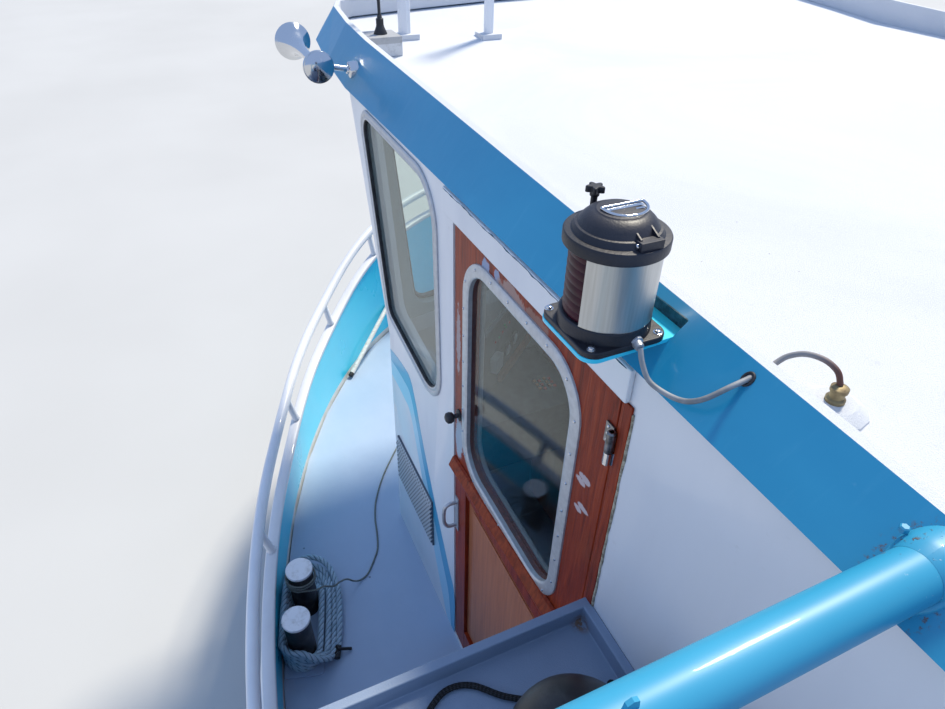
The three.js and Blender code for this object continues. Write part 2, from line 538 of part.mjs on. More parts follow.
// Side doors: mahogany leaves with a round-cornered pane, hinged at their after edge
const PORTHOLE = { x0: 6535, x1: 7035, z0: 1785, z1: 2475, radius: 100 };
function doorLeaf() {
  const y1 = HOUSE_HALF - 2;
  const leaf = box(DOOR.aft + DOOR.seam, DOOR.fore - DOOR.seam, y1 - DOOR.leaf, y1,
    DOOR.sill + DOOR.seam, DOOR.head - DOOR.seam);
  return join([leaf.subtract(athwart(porthole(0), y1 - 60, y1 + 20)), ...SIDE_HINGES.moving]);
}
const porthole = (inside) => block(PORTHOLE.x0 + inside, PORTHOLE.x1 - inside, PORTHOLE.z0 + inside,
  PORTHOLE.z1 - inside, PORTHOLE.radius);
pair("door", doorLeaf(), "wood", 0.35);
pair("door_pane", athwart(porthole(GAP), HOUSE_HALF - 18, HOUSE_HALF - 10), "glass", 0.1);

// Aft door on the centre line, hinged on its port edge
const AFT_PANE = { half: 230, z0: 1600, z1: 2420, radius: 90 };
function aftDoor() {
  const x0 = SALOON.aft + 2;
  const leaf = box(x0, x0 + DOOR.leaf, -AFT_DOOR.half + DOOR.seam, AFT_DOOR.half - DOOR.seam,
    AFT_DOOR.sill + DOOR.seam, AFT_DOOR.head - DOOR.seam);
  return join([leaf.subtract(foreAft(aftWindow(0), x0 - 20, x0 + 60)), ...AFT_HINGES.moving]);
}
const aftWindow = (inside) => block(-AFT_PANE.half + inside, AFT_PANE.half - inside, AFT_PANE.z0 + inside,
  AFT_PANE.z1 - inside, AFT_PANE.radius);
piece("aft_door", aftDoor(), "wood", 0.35);
piece("aft_door_pane", foreAft(aftWindow(GAP), SALOON.aft + 14, SALOON.aft + 22), "glass", 0.1);

// Engine room hatch lid in the after deck
piece("engine_hatch", join([
  box(HATCH.x0 - 30, HATCH.x1 + 30, -HATCH.half - 30, HATCH.half + 30, DECK + GAP, DECK + 24),
  bar([HATCH.x0 - 30, -300, DECK + 13], [HATCH.x0 - 30, 300, DECK + 13], 11)]), "deck", 0.5);

// Side lights on brackets beside the doors: base and cap on one core, coloured lens, metal screen
const LIGHT = { x: 6440, y: 1343, foot: 2675, height: 190, flange: 71, base: 70, cap: 74 };
// The screen covers the after and inboard sides, the lens the rest; angles from ahead, then radii
const SCREEN = { from: 113, to: 336, inner: 61, outer: 68 };
const LENS = { from: -22, to: 111, inner: 42, outer: 64 };
const LIGHT_GLAND = { from: [6390, 1330, 2688], to: [6360, 1333, 2684], radius: 8 };
function lightHousing() {
  const { x, y, foot, height, flange: half, base: wide, cap: rim } = LIGHT;
  const flange = upright(block(x - half, x + half, y - half, y + half, 24), foot, foot + 10);
  const base = turned([[0, foot + 5], [wide, foot + 5], [wide, foot + 32], [0, foot + 32]], x, y, 20);
  const cap = turned([[0, foot + 140], [rim, foot + 140], [rim, foot + 158], [60, foot + 164], [55, foot + 175],
    [32, foot + height], [0, foot + height + 2]], x, y, 20);
  const core = turned([[0, foot + 20], [34, foot + 20], [34, foot + 150], [0, foot + 150]], x, y, 10);
  const bracket = box(NICHE.x0 + 2, NICHE.x1 - 2, NICHE.back + GAP, y + 66, NICHE.foot + GAP, foot + 2);
  const gland = bar(LIGHT_GLAND.from, LIGHT_GLAND.to, LIGHT_GLAND.radius);
  return join([flange, base, cap, core, bracket, gland, lightShell(SCREEN, 2)]);
}
function lightShell({ from, to, inner, outer }, into = -GAP) {
  const { x, y, foot } = LIGHT;
  const steps = 14;
  const arc = Array.from({ length: steps + 1 }, (_, i) =>
    THREE.MathUtils.degToRad(from + ((to - from) * i) / steps));
  const points = [...arc.map((a) => [x + outer * Math.cos(a), y + outer * Math.sin(a)]),
    ...arc.toReversed().map((a) => [x + inner * Math.cos(a), y + inner * Math.sin(a)])];
  return upright(polygon(points), foot + 32 - into, foot + 140 + into);
}
// What is fastened to the port fascia ends just short of its face
const moved = (body, x, y, z) => solid(geometryOf(body).translate(x, y, z));
const fasciaFace = moved(fasciaBody, 0, GAP, 0);
const besideFascia = (body) => cut(body, [fasciaFace,
  box(-8000, 9000, 0, HOUSE_HALF + 1, 2000, ROOF.under),
  box(-8000, ROOF.kink, 0, HOUSE_HALF + FASCIA.lap + 1, ROOF.under - 1, ROOF.top + 1)]);
const housing = besideFascia(lightHousing());
piece("port_light_housing", housing, "black", 0.5);
piece("starboard_light_housing", mirrored(housing), "black", 0.5);
piece("port_light_lens", lightShell(LENS), "red", 0.2);
piece("starboard_light_lens", mirrored(lightShell(LENS)), "green", 0.2);

// The lights' cables hang in a bend from their glands to a hole in the fascia
const LIGHT_CABLE = { radius: 4, steps: 24 };
const LIGHT_CABLE_PATH = [[6359.6, 1333, 2684], [6345, 1335, 2664], [6325, 1331, 2645], [6283, 1317, 2644],
  [6254, 1307, 2663], [6242, 1274, 2684], [6240, 1228, 2694]];
const lightCable = cut(bent(LIGHT_CABLE_PATH, LIGHT_CABLE.radius, LIGHT_CABLE.steps, 8),
  [fasciaFace, moved(housing, -GAP, 0, 0)]);
pair("light_cable", lightCable, "grey", 0.6);

// The port light's cable comes out behind the fascia and arches over to the gland on the roof
const ROOF_CABLE_PATH = [[6241, 1226, 2692], [6243, 1205, 2699], [6241, 1190, 2710], [6226, 1177, 2719],
  [6198, 1168, 2719], [6178, 1163, 2712], [GLAND.x, GLAND.y, GLAND.top - 2]];
piece("roof_cable", cut(bent(ROOF_CABLE_PATH, LIGHT_CABLE.radius, LIGHT_CABLE.steps, 8),
  [moved(fasciaBody, 0, -GAP, 0), moved(roofWithPosts, 0, 0, GAP)]), "grey", 0.6);

// Horn trumpet beside the windscreen
function horn() {
  const [x, y, z] = [7920, 1412, 2716];
  const profile = [[0, 0], [46, 0], [48, 14], [26, 24], [14, 60], [15, 200], [24, 290], [38, 350], [62, 390],
    [58, 391], [34, 352], [20, 292], [0, 270]];
  const trumpet = new THREE.LatheGeometry(profile.map(([r, a]) => new THREE.Vector2(r, a)), 12)
    .rotateZ(-Math.PI / 2).translate(x, y, z);
  const arm = bar([x + 90, HOUSE_HALF - 30, z - 40], [x + 90, y, z - 8], 10);
  const flange = bar([x + 90, HOUSE_HALF - 30, z - 40], [x + 90, HOUSE_HALF, z - 37], 26);
  return besideFascia(join([solid(trumpet), arm, flange]));
}
piece("horn", horn(), "chrome", 0.15, 1);

// Aerial box on the roof's front edge, its foot cut to the slope
const AERIAL = { x: 8217, y: 1120, half: 60, top: roofTop(8217) + 60 };
piece("aerial_box", join([
  box(AERIAL.x - AERIAL.half, AERIAL.x + AERIAL.half, AERIAL.y - AERIAL.half, AERIAL.y + AERIAL.half,
    AERIAL.top - 70, AERIAL.top),
  bar([AERIAL.x, AERIAL.y, AERIAL.top - 5], [AERIAL.x, AERIAL.y, AERIAL.top + 50], 14),
  bar([AERIAL.x, AERIAL.y, AERIAL.top + 40], [AERIAL.x, AERIAL.y, AERIAL.top + 450], 6),
]).subtract(moved(roofBody, 0, 0, GAP)), "grey", 0.5);

// Folding mast with its light, pinned in a tabernacle on the roof
const MAST = { x: 4300, pin: ROOF.top + 90, lamp: ROOF.top + 1385, radius: 25, bolt: 8, bore: 9 };
piece("mast_foot", join([box(MAST.x - 90, MAST.x + 90, -90, 90, ROOF.top + GAP, ROOF.top + 12),
  box(MAST.x - 40, MAST.x + 40, 36, 46, ROOF.top + 8, MAST.pin + 30),
  box(MAST.x - 40, MAST.x + 40, -46, -36, ROOF.top + 8, MAST.pin + 30),
  bar([MAST.x, -60, MAST.pin], [MAST.x, 60, MAST.pin], MAST.bolt)]), "white", 0.4);
const MAST_LAMP = [[0, 0], [62, 0], [62, 25], [48, 27], [48, 125], [62, 127], [56, 150], [0, 165]];
piece("mast", join([bar([MAST.x, 0, MAST.pin - 40], [MAST.x, 0, MAST.lamp + 5], MAST.radius),
  turned(MAST_LAMP.map(([r, z]) => [r, MAST.lamp + z]), MAST.x, 0)]).subtract(
  bar([MAST.x, -60, MAST.pin], [MAST.x, 60, MAST.pin], MAST.bore)), "white", 0.4);

// Side lockers with a lipped tray on top, on the side decks behind the doors
const LOCKER = { x0: 4900, x1: 6400, out: 1960, tray: 1955, lip: 2000, wall: 20 };
function locker() {
  const [y0, w] = [HOUSE_HALF + GAP, LOCKER.wall];
  return cut(box(LOCKER.x0, LOCKER.x1, y0, LOCKER.out, DECK + GAP, LOCKER.lip), [
    box(LOCKER.x0 + w, LOCKER.x1 - w, y0 + w, LOCKER.out - w, LOCKER.tray, LOCKER.lip + 10),
    box(LOCKER.x0 + w, LOCKER.x1 - w, y0 + w, LOCKER.out - w, DECK - 10, LOCKER.tray - w)]);
}
pair("side_locker", locker(), "deck", 0.5);

// Guard tube: out from the fascia, round a bend and down into the locker's tray
const TUBE = { x: 5955, z: 2660, root: 1232, out: 1890, radius: 30, bend: 150 };
function guardTube() {
  const { x, z, root, out, radius, bend } = TUBE;
  const path = [[x, root, z], [x, 1400, z], [x, 1600, z], [x, out - bend, z], [x, out - 44, z - 44],
    [x, out, z - bend], [x, out, 2300], [x, out, LOCKER.tray + GAP]];
  const ring = bar([x, root, z], [x, 1312, z], radius + 8, 12);
  const foot = bar([x, out, LOCKER.tray + GAP], [x, out, LOCKER.tray + 12], radius + 14, 12);
  return besideFascia(join([bent(path, radius, 16, 8), ring, foot]));
}
pair("guard_tube", guardTube(), "blue", 0.35);

// Fender lying in the port tray, and the rope from its eye
const FENDER = { x0: 5520, x1: 6243, y: 1505, radius: 118, z: LOCKER.tray + GAP + 118 };
function fender() {
  const { x0, x1, y, z, radius } = FENDER;
  const dome = (sign) => [0, 25, 50, 75].map((deg) => THREE.MathUtils.degToRad(deg)).map((a) =>
    [radius * Math.cos(a), (sign > 0 ? x1 - radius : x0 + radius) + sign * radius * Math.sin(a)]);
  const profile = [[0, x0 - 38], [25, x0 - 38], [25, x0 + 10], ...dome(-1).reverse(), ...dome(1), [0, x1]];
  return solid(new THREE.LatheGeometry(profile.map(([r, a]) => new THREE.Vector2(r, a)), 16)
    .rotateZ(-Math.PI / 2).rotateX(Math.PI / 16).translate(0, y, z));
}
const fenderBody = fender();
piece("fender", fenderBody, "black", 0.5);

const FENDER_ROPE = { radius: 6, steps: 76, low: LOCKER.tray + 7 };
const FENDER_ROPE_PATH = [[FENDER.x0 - 36, FENDER.y, FENDER.z], [5450, 1512, 2062], [5424, 1550, 2010],
  [5440, 1620, FENDER_ROPE.low + 6], [5520, 1690, FENDER_ROPE.low], [5760, 1735, FENDER_ROPE.low],
  [6040, 1730, FENDER_ROPE.low], [6230, 1728, FENDER_ROPE.low], [6310, 1700, FENDER_ROPE.low],
  [6345, 1662, FENDER_ROPE.low], [6354, 1625, FENDER_ROPE.low], [6340, 1586, FENDER_ROPE.low],
  [6298, 1540, FENDER_ROPE.low], [6264, 1480, FENDER_ROPE.low], [6248, 1420, FENDER_ROPE.low],
  [6230, 1368, FENDER_ROPE.low + 2], [6226, 1352, FENDER_ROPE.low + 6]];
const ropeKnot = solid(new THREE.SphereGeometry(15, 8, 6).rotateX(Math.PI / 2)
  .translate(6226, 1348, LOCKER.tray + GAP + 15));
piece("fender_rope", join([bent(FENDER_ROPE_PATH, FENDER_ROPE.radius, FENDER_ROPE.steps, 8), ropeKnot])
  .subtract(moved(fenderBody, -GAP, 0, 0)), "black", 0.9);

// Mooring bitts, forward on the side decks and aft on the quarters: two posts on one plate
const BITTS = [
  { name: "forward", x: 7377, y: 1850, turn: -0.263 },
  { name: "aft", x: -8300, y: 1560, turn: 0.35 },
];
const BITT = { span: 108, radius: 50, cap: 53, height: 270, plate: 10 };
for (const { name, x, y, turn } of BITTS) {
  const c = Math.cos(turn) * BITT.span;
  const s = Math.sin(turn) * BITT.span;
  const top = DECK + BITT.height;
  const profile = [[0, DECK + 5], [BITT.radius, DECK + 5], [BITT.radius, top - 12], [BITT.cap, top - 10],
    [BITT.cap, top], [0, top]];
  const plate = solid(new THREE.BoxGeometry(390, 150, BITT.plate).rotateZ(turn)
    .translate(x, y, DECK + GAP + BITT.plate / 2));
  const posts = [turned(profile, x + c, y + s), turned(profile, x - c, y - s)];
  pair(`bitts_${name}`, join([plate, ...posts]), "black", 0.5);
}

// Mooring rope wound round the port forward bitts: a tight stack, and slack turns forward and inboard
const COIL = { bore: 56, tight: 78, forward: 224, inboard: 142, low: 78, high: 150 };
function aroundBitts(forward, outboard, inboard, aft) {
  return Array.from({ length: 24 }, (_, i) => {
    const a = (2 * Math.PI * (i + 0.5)) / 24;
    const [c, s] = [Math.cos(a), Math.sin(a)];
    const end = c ** 6;
    const r = (c > 0 ? forward : aft) * end + (s > 0 ? outboard : inboard) * (1 - end);
    return [Math.sign(c) * BITT.span + r * c, r * s];
  });
}
function ropeCoil() {
  const [{ x, y, turn }] = BITTS;
  const { bore, tight, forward, inboard } = COIL;
  const ring = (outline, depth) => {
    const shape = polygon(outline);
    shape.holes.push(polygon(aroundBitts(bore, bore, bore, bore)));
    return solid(extruded(shape, depth).rotateZ(turn).translate(x, y, DECK + BITT.plate + 2 * GAP));
  };
  return ring(aroundBitts(forward, tight, inboard, tight), COIL.low)
    .add(ring(aroundBitts(tight, tight, tight, tight), COIL.high));
}
piece("mooring_rope", ropeCoil(), "rope", 0.9);

// Thin line: wound round the forward bitt, over the rope and along the deck past the wheelhouse
const LINE = { radius: 4, steps: 80, turns: 2.5, wound: 57, top: 935, pitch: 16, low: DECK + 4.5 };
const LINE_RUN = [[7424, 1795, 884], [7428, 1768, 872], [7436, 1745, 866], [7452, 1722, 830],
  [7466, 1700, 802], [7480, 1668, 797], [7492, 1640, 778], [7502, 1612, 735], [7514, 1582, LINE.low + 4], [7535, 1543, LINE.low],
  [7592, 1497, LINE.low], [7647, 1463, LINE.low], [7729, 1440, LINE.low], [7809, 1424, LINE.low],
  [7893, 1397, LINE.low], [7957, 1366, LINE.low], [8024, 1327, LINE.low], [8094, 1279, LINE.low],
  [8187, 1205, LINE.low], [8290, 1120, LINE.low], [8390, 1060, LINE.low]];
function deckLine() {
  const [{ x, y, turn }] = BITTS;
  const centre = [x + Math.cos(turn) * BITT.span, y + Math.sin(turn) * BITT.span];
  const wound = Array.from({ length: 12 * LINE.turns + 1 }, (_, i) => {
    const a = (2 * Math.PI * i) / 12;
    return [centre[0] + LINE.wound * Math.cos(a), centre[1] + LINE.wound * Math.sin(a),
      LINE.top - (LINE.pitch * i) / 12];
  });
  return bent([...wound, ...LINE_RUN], LINE.radius, LINE.steps, 8)
    .subtract(box(7000, 9000, 1000, 2000, 600, DECK + GAP));
}
piece("deck_line", deckLine(), "grey", 0.8);

// Helm: console across the front, wheel on its after face, seat behind it
const CONSOLE = { x0: 7200, x1: 7700, top: 1600, low: 1450, y0: -1150, y1: 650 };
const WHEEL = { x: 7100, y: 0, z: 1370, radius: 230, rim: 14, tilt: 0.3, hub: 70 };
const wheelAxis = (d) => [WHEEL.x + d * Math.cos(WHEEL.tilt), WHEEL.y, WHEEL.z - d * Math.sin(WHEEL.tilt)];
piece("console", join([athwart(polygon([[CONSOLE.x0 + 60, DECK + GAP], [CONSOLE.x1, DECK + GAP],
  [CONSOLE.x1, CONSOLE.top], [CONSOLE.x0 + 180, CONSOLE.top], [CONSOLE.x0, CONSOLE.low],
  [CONSOLE.x0, CONSOLE.low - 180]]), CONSOLE.y0, CONSOLE.y1),
bar(wheelAxis(WHEEL.hub + GAP), wheelAxis(150), 34)]), "wood", 0.5);
function helmWheel() {
  const rim = solid(new THREE.TorusGeometry(WHEEL.radius, WHEEL.rim, 6, 20));
  const spokes = [0, 1, 2].map((i) => {
    const a = (2 * Math.PI * i) / 3 + Math.PI / 2;
    return bar([0, 0, 0], [WHEEL.radius * Math.cos(a), WHEEL.radius * Math.sin(a), 0], 9, 6);
  });
  const hub = bar([0, 0, -20], [0, 0, WHEEL.hub], 30, 12);
  return solid(geometryOf(join([rim, ...spokes, hub])).rotateY(Math.PI / 2 + WHEEL.tilt)
    .translate(WHEEL.x, WHEEL.y, WHEEL.z));
}
piece("helm_wheel", helmWheel(), "black", 0.5);
const SEAT_POST = [[0, DECK + GAP], [220, DECK + GAP], [220, DECK + 20], [45, DECK + 40], [45, 1160],
  [0, 1160]];
piece("helm_seat", join([turned(SEAT_POST, 6350, 0), box(6150, 6580, -230, 230, 1150, 1250),
  box(6130, 6220, -220, 220, 1240, 1700)]), "seat", 0.7);

// Saloon seats: back-to-back benches along each side, joined by a plinth at the wall
function benches() {
  const inner = INSIDE - GAP;
  const plinth = box(-5600, 5000, inner - 60, inner - 30, SALOON.floor + GAP, SALOON.floor + 470);
  const rows = [-5300, -3500, -1700, 100, 1900, 3700].flatMap((x) => [
    box(x, x + 420, inner - 900, inner - 30, SALOON.floor + GAP, SALOON.floor + 430),
    box(x + 420, x + 500, inner - 900, inner - 30, SALOON.floor + GAP, SALOON.floor + 900),
    box(x + 500, x + 920, inner - 900, inner - 30, SALOON.floor + GAP, SALOON.floor + 430)]);
  return join([plinth, ...rows]);
}
pair("benches", benches(), "seat", 0.7);

// Engine block, propeller with its shaft, and rudder
piece("engine", box(ENGINE.x0, ENGINE.x1, -ENGINE.half, ENGINE.half, ROOM.floor + GAP, ENGINE.top),
  "grey", 0.6);

function propeller() {
  const hub = bar([SHAFT.aft, 0, SHAFT.z], [SHAFT.blade + 95, 0, SHAFT.z], 55, 12);
  const shaft = bar([SHAFT.blade, 0, SHAFT.z], [ENGINE.x0 - GAP, 0, SHAFT.z], SHAFT.radius, 16);
  const blade = (turn) => {
    // columns: radius, half chord, pitch angle
    const rings = [[40, 70, 62], [120, 95, 45], [200, 85, 33], [250, 40, 28]].map(([r, half, pitch]) => {
      const a = THREE.MathUtils.degToRad(pitch);
      const t = 10 - r / 60;
      return [[-half, 0.6], [0, 1], [half, 0.6], [half, -0.6], [0, -1], [-half, -0.6]].map(([c, share]) => {
        const n = share * t;
        const y = c * Math.cos(a) - n * Math.sin(a);
        const x = c * Math.sin(a) + n * Math.cos(a);
        return [x, y, r];
      });
    });
    return solid(geometryOf(loft(rings)).rotateX(turn).translate(SHAFT.blade, 0, SHAFT.z));
  };
  return join([hub, shaft, ...[0, 1, 2, 3].map((i) => blade((Math.PI / 2) * i + Math.PI / 4))]);
}
piece("propeller", propeller(), "bronze", 0.35, 0.9);

function rudder() {
  const blade = [[-9480, 0], [-9300, 22], [-9050, 30], [-8990, 0], [-9050, -30], [-9300, -22]];
  const stock = bar([RUDDER.x, 0, RUDDER.heel + 5], [RUDDER.x, 0, RUDDER.top], RUDDER.stock, 16);
  const collar = bar([RUDDER.x, 0, RUDDER.heelTop + GAP], [RUDDER.x, 0, RUDDER.heelTop + 25], 42, 16);
  return join([upright(polygon(blade), RUDDER.heelTop + 20, -180), stock, collar]);
}
piece("rudder", rudder(), "antifouling", 0.5);

export default boat;
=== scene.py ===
import json
import math
import random

import bmesh
import bpy
from mathutils import Matrix, Vector


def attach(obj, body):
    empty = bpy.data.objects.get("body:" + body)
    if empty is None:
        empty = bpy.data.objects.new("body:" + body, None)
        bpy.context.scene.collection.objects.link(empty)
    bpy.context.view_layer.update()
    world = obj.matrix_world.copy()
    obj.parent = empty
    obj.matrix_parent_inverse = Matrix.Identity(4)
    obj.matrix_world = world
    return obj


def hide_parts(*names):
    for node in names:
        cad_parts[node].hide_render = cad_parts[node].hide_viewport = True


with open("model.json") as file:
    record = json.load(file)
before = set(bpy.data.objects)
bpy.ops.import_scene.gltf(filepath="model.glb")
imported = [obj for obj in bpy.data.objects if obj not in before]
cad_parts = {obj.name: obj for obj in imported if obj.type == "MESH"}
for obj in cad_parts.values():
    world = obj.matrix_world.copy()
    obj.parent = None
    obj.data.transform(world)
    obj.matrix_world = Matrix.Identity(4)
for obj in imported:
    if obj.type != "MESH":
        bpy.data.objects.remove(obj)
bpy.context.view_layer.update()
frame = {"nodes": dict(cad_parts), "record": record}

SIDES = ((1, "port"), (-1, "starboard"))
WALL, DECK = 1.3, 0.7

# Camera
# It stands over the port side deck beside the guard tube, above head height, and looks
# forwards and down along the wheelhouse.
YAW, PITCH, ROLL = (math.radians(angle) for angle in (-24.687, 36.995, -1.057))
EYE, FOCUS_PX, WIDTH_PX = (5.78, 1.86, 3.23), 655, 945
ahead = Vector((math.cos(PITCH) * math.cos(YAW), math.cos(PITCH) * math.sin(YAW), -math.sin(PITCH)))
right = Vector((math.sin(YAW), -math.cos(YAW), 0))
down = ahead.cross(right)
camera_right = math.cos(ROLL) * right + math.sin(ROLL) * down
camera_down = math.cos(ROLL) * down - math.sin(ROLL) * right
camera = bpy.data.objects.new("camera", bpy.data.cameras.new("camera"))
turn = Matrix((camera_right, -camera_down, -ahead)).transposed().to_4x4()
camera.matrix_world = Matrix.Translation(EYE) @ turn
camera.data.sensor_width = 36
camera.data.lens = 36 * FOCUS_PX / WIDTH_PX
camera.data.clip_start = 0.02
camera.data.clip_end = 300
bpy.context.collection.objects.link(camera)
bpy.context.scene.camera = camera


# Materials
# Each is written as sums and mixes of noises.
class Signal:
    """A socket of a material that can be added, multiplied and fed to other nodes."""

    def __init__(self, tree, socket):
        self.tree, self.socket = tree, socket

    def feed(self, socket, value):
        """Links a signal to a socket, or sets a constant there."""
        if isinstance(value, Signal):
            self.tree.links.new(value.socket, socket)
        elif socket.type == "RGBA" and len(value) == 3:
            socket.default_value = (*value, 1)
        else:
            socket.default_value = value

    def node(self, kind, settings=None, sockets=None, out=0):
        new = self.tree.nodes.new(kind)
        for key, value in (settings or {}).items():
            setattr(new, key, value)
        for key, value in (sockets or {}).items():
            self.feed(new.inputs[key], value)
        return Signal(self.tree, new.outputs[out])

    def ramp(self, *stops):
        """Colours at places from 0 to 1, each stop a place and its colour."""
        new = self.tree.nodes.new("ShaderNodeValToRGB")
        self.tree.links.new(self.socket, new.inputs[0])
        elements = new.color_ramp.elements
        elements.remove(elements[1])
        elements[0].position, elements[0].color = stops[0][0], (*stops[0][1], 1)
        for position, colour in stops[1:]:
            elements.new(position).color = (*colour, 1)
        return Signal(self.tree, new.outputs[0])

    def math(self, operation, *values):
        return self.node("ShaderNodeMath", {"operation": operation}, dict(enumerate(values)))

    def __add__(self, other):
        return self.math("ADD", self, other)

    def __sub__(self, other):
        return self.math("SUBTRACT", self, other)

    def __rsub__(self, other):
        return self.math("SUBTRACT", other, self)

    def __mul__(self, other):
        return self.math("MULTIPLY", self, other)

    def __truediv__(self, other):
        return self.math("DIVIDE", self, other)

    __radd__, __rmul__ = __add__, __mul__

    def sine(self):
        return self.math("SINE", self)

    def absolute(self):
        return self.math("ABSOLUTE", self)

    def above(self, level):
        return self.math("GREATER_THAN", self, level)

    def between(self, low, high):
        """0 below low, 1 above high, a soft step from one to the other."""
        return self.node("ShaderNodeMapRange", {"interpolation_type": "SMOOTHSTEP"},
                         {"Value": self, "From Min": low, "From Max": high})

    def band(self, low, high, soft=0.001):
        """1 from low to high, 0 outside."""
        return self.between(low, low + soft) * (1 - self.between(high, high + soft))

    def mix(self, first, second):
        """first where this mask is 0, second where it is 1."""
        return self.node("ShaderNodeMix", {"data_type": "RGBA"}, {0: self, 6: first, 7: second}, out=2)

    def axis(self, name):
        return self.node("ShaderNodeSeparateXYZ", None, {0: self}, out="XYZ".index(name))

    def stretched(self, x, y, z):
        return self.node("ShaderNodeVectorMath", {"operation": "MULTIPLY"}, {0: self, 1: (x, y, z)})

    def distance(self, point):
        return self.node("ShaderNodeVectorMath", {"operation": "DISTANCE"}, {0: self, 1: point}, out=1)

    def noise(self, scale, detail=3.0, roughness=0.5, distortion=0.0):
        return self.node("ShaderNodeTexNoise", None, {"Vector": self, "Scale": scale, "Detail": detail,
                                                      "Roughness": roughness, "Distortion": distortion})

    def specks(self, scale, size):
        """Small round marks scattered over the surface."""
        cells = self.node("ShaderNodeTexVoronoi", None, {"Vector": self, "Scale": scale})
        return 1 - cells.between(size * 0.6, size)


def start_material(name, uv=False):
    material = bpy.data.materials.new(name)
    material.use_nodes = True
    tree = material.node_tree
    place = Signal(tree, tree.nodes.new("ShaderNodeTexCoord").outputs["UV" if uv else "Object"])
    place.material = material
    return place


def finish_material(place, colour, roughness, height=None, lift=0.001, **fixed):
    """Sets the shader's sockets. height is a bump of lift metres; fixed holds constant sockets."""
    values = {"Base Color": colour, "Roughness": roughness}
    values.update({key.replace("_", " ").title().replace("Ior", "IOR"): value
                   for key, value in fixed.items()})
    if height is not None:
        values["Normal"] = place.node("ShaderNodeBump", None, {"Height": height, "Distance": lift})
    for key, value in values.items():
        place.feed(place.tree.nodes["Principled BSDF"].inputs[key], value)
    return place.material


def mottled(name, slot, grain, limits, tones, roughness, bump=None, lift=0.001, stretch=None, **fixed):
    """A finish of two tones that change by noise. grain and bump are noises; roughness is a number
    or a noise with its share and its least value."""
    place = start_material(name)
    drawn = place.stretched(*stretch) if stretch else place
    if isinstance(roughness, tuple):
        roughness = place.noise(*roughness[0]) * roughness[1] + roughness[2]
    return finish_material(place, drawn.noise(*grain).between(*limits).mix(*tones), roughness,
                           place.noise(*bump) if bump else None, lift, **fixed)


# Shapes
# Lines, skins along them, turned bodies, boxes and boards. A shape is its points and its faces.
def flowing(points, samples=8):
    """A smooth open line through points, as points of its own."""
    corners = [Vector(p) for p in points]
    corners = [2 * corners[0] - corners[1], *corners, 2 * corners[-1] - corners[-2]]
    line = []
    for a, b, c, d in zip(corners, corners[1:], corners[2:], corners[3:]):
        for step in range(samples):
            t = step / samples
            line.append(0.5 * (2 * b + (c - a) * t + (2 * a - 5 * b + 4 * c - d) * t * t
                               + (3 * b - a - 3 * c + d) * t ** 3))
    return [*line, corners[-2]]


def evenly(line, step):
    """The same line with its points one step apart."""
    out, left = [line[0].copy()], step
    for a, b in zip(line, line[1:]):
        length = (b - a).length
        while left <= length and length > 0:
            a = a + (b - a) * (left / length)
            out.append(a.copy())
            length = (b - a).length
            left = step
        left -= length
    if (out[-1] - line[-1]).length > step * 0.3:
        out.append(line[-1].copy())
    else:
        out[-1] = line[-1].copy()
    return out


def skin_round(line, section, pitch=0.0):
    """Points, faces and UVs of a skin along a line. section(length so far) gives radii round it,
    and they turn once in a pitch."""
    tangents = [(line[min(i + 1, len(line) - 1)] - line[max(i - 1, 0)]).normalized()
                for i in range(len(line))]
    side = tangents[0].orthogonal().normalized()
    points, faces, uvs, gone = [], [], [], 0.0
    for i, centre in enumerate(line):
        before = gone
        if i:
            gone += (centre - line[i - 1]).length
            side = (side - tangents[i] * side.dot(tangents[i])).normalized()
        up = tangents[i].cross(side)
        radii = section(gone)
        count = len(radii)
        for k, radius in enumerate(radii):
            a = 2 * math.pi * (k / count + (gone / pitch if pitch else 0))
            points.append(centre + radius * (math.cos(a) * side + math.sin(a) * up))
        low, high = (i - 1) * count, i * count
        for k in range(count if i else 0):
            faces.append((low + k, low + (k + 1) % count, high + (k + 1) % count, high + k))
            uvs += [(k / count, before), ((k + 1) / count, before), ((k + 1) / count, gone),
                    (k / count, gone)]
    faces += [tuple(reversed(range(count))), tuple(range(high, high + count))]
    uvs += [(0, 0)] * count + [(0, gone)] * count
    return points, faces, uvs


def laid(radius, each=6):
    """Section of a rope of three round strands, each with a few points round it."""
    radii = []
    for k in range(3 * each):
        a = (2 * math.pi * k / (3 * each) + math.pi / 3) % (2 * math.pi / 3) - math.pi / 3
        radii.append(radius * (0.4 * math.cos(a) + math.sqrt(0.36 - (0.4 * math.sin(a)) ** 2)))
    return lambda gone: radii


def plain_round(radius, sides=12):
    return lambda gone: [radius] * sides


def stepped(radii, sides):
    """Section of a tube whose radius changes from one point to the next."""
    left = iter(radii)
    return lambda gone: [next(left)] * sides


def rod(points, radius, sides=12, samples=6):
    return skin_round(flowing(points, samples), plain_round(radius, sides))


def arc(middle, radius, first, last, steps):
    """Points of an arc in a plane, from one angle in degrees to another."""
    return [Vector(middle) + radius * Vector((math.cos(a), math.sin(a)))
            for a in (math.radians(first + (last - first) * k / steps) for k in range(steps + 1))]


def strip_faces(rings, count, closed=True):
    """Faces between rings of count points each."""
    faces = []
    for a, b in zip(rings, rings[1:]):
        for j in range(count if closed else count - 1):
            k = (j + 1) % count
            faces.append((a * count + j, a * count + k, b * count + k, b * count + j))
    return faces


def lofted(rings, close=False):
    """A body over rings of equally many points, each closed on itself, with its ends capped."""
    count, last = len(rings[0]), (len(rings) - 1) * len(rings[0])
    order = list(range(len(rings)))
    faces = strip_faces(order + [0] if close else order, count)
    if not close:
        faces += [tuple(reversed(range(count))), tuple(range(last, last + count))]
    return [p for ring in rings for p in ring], faces


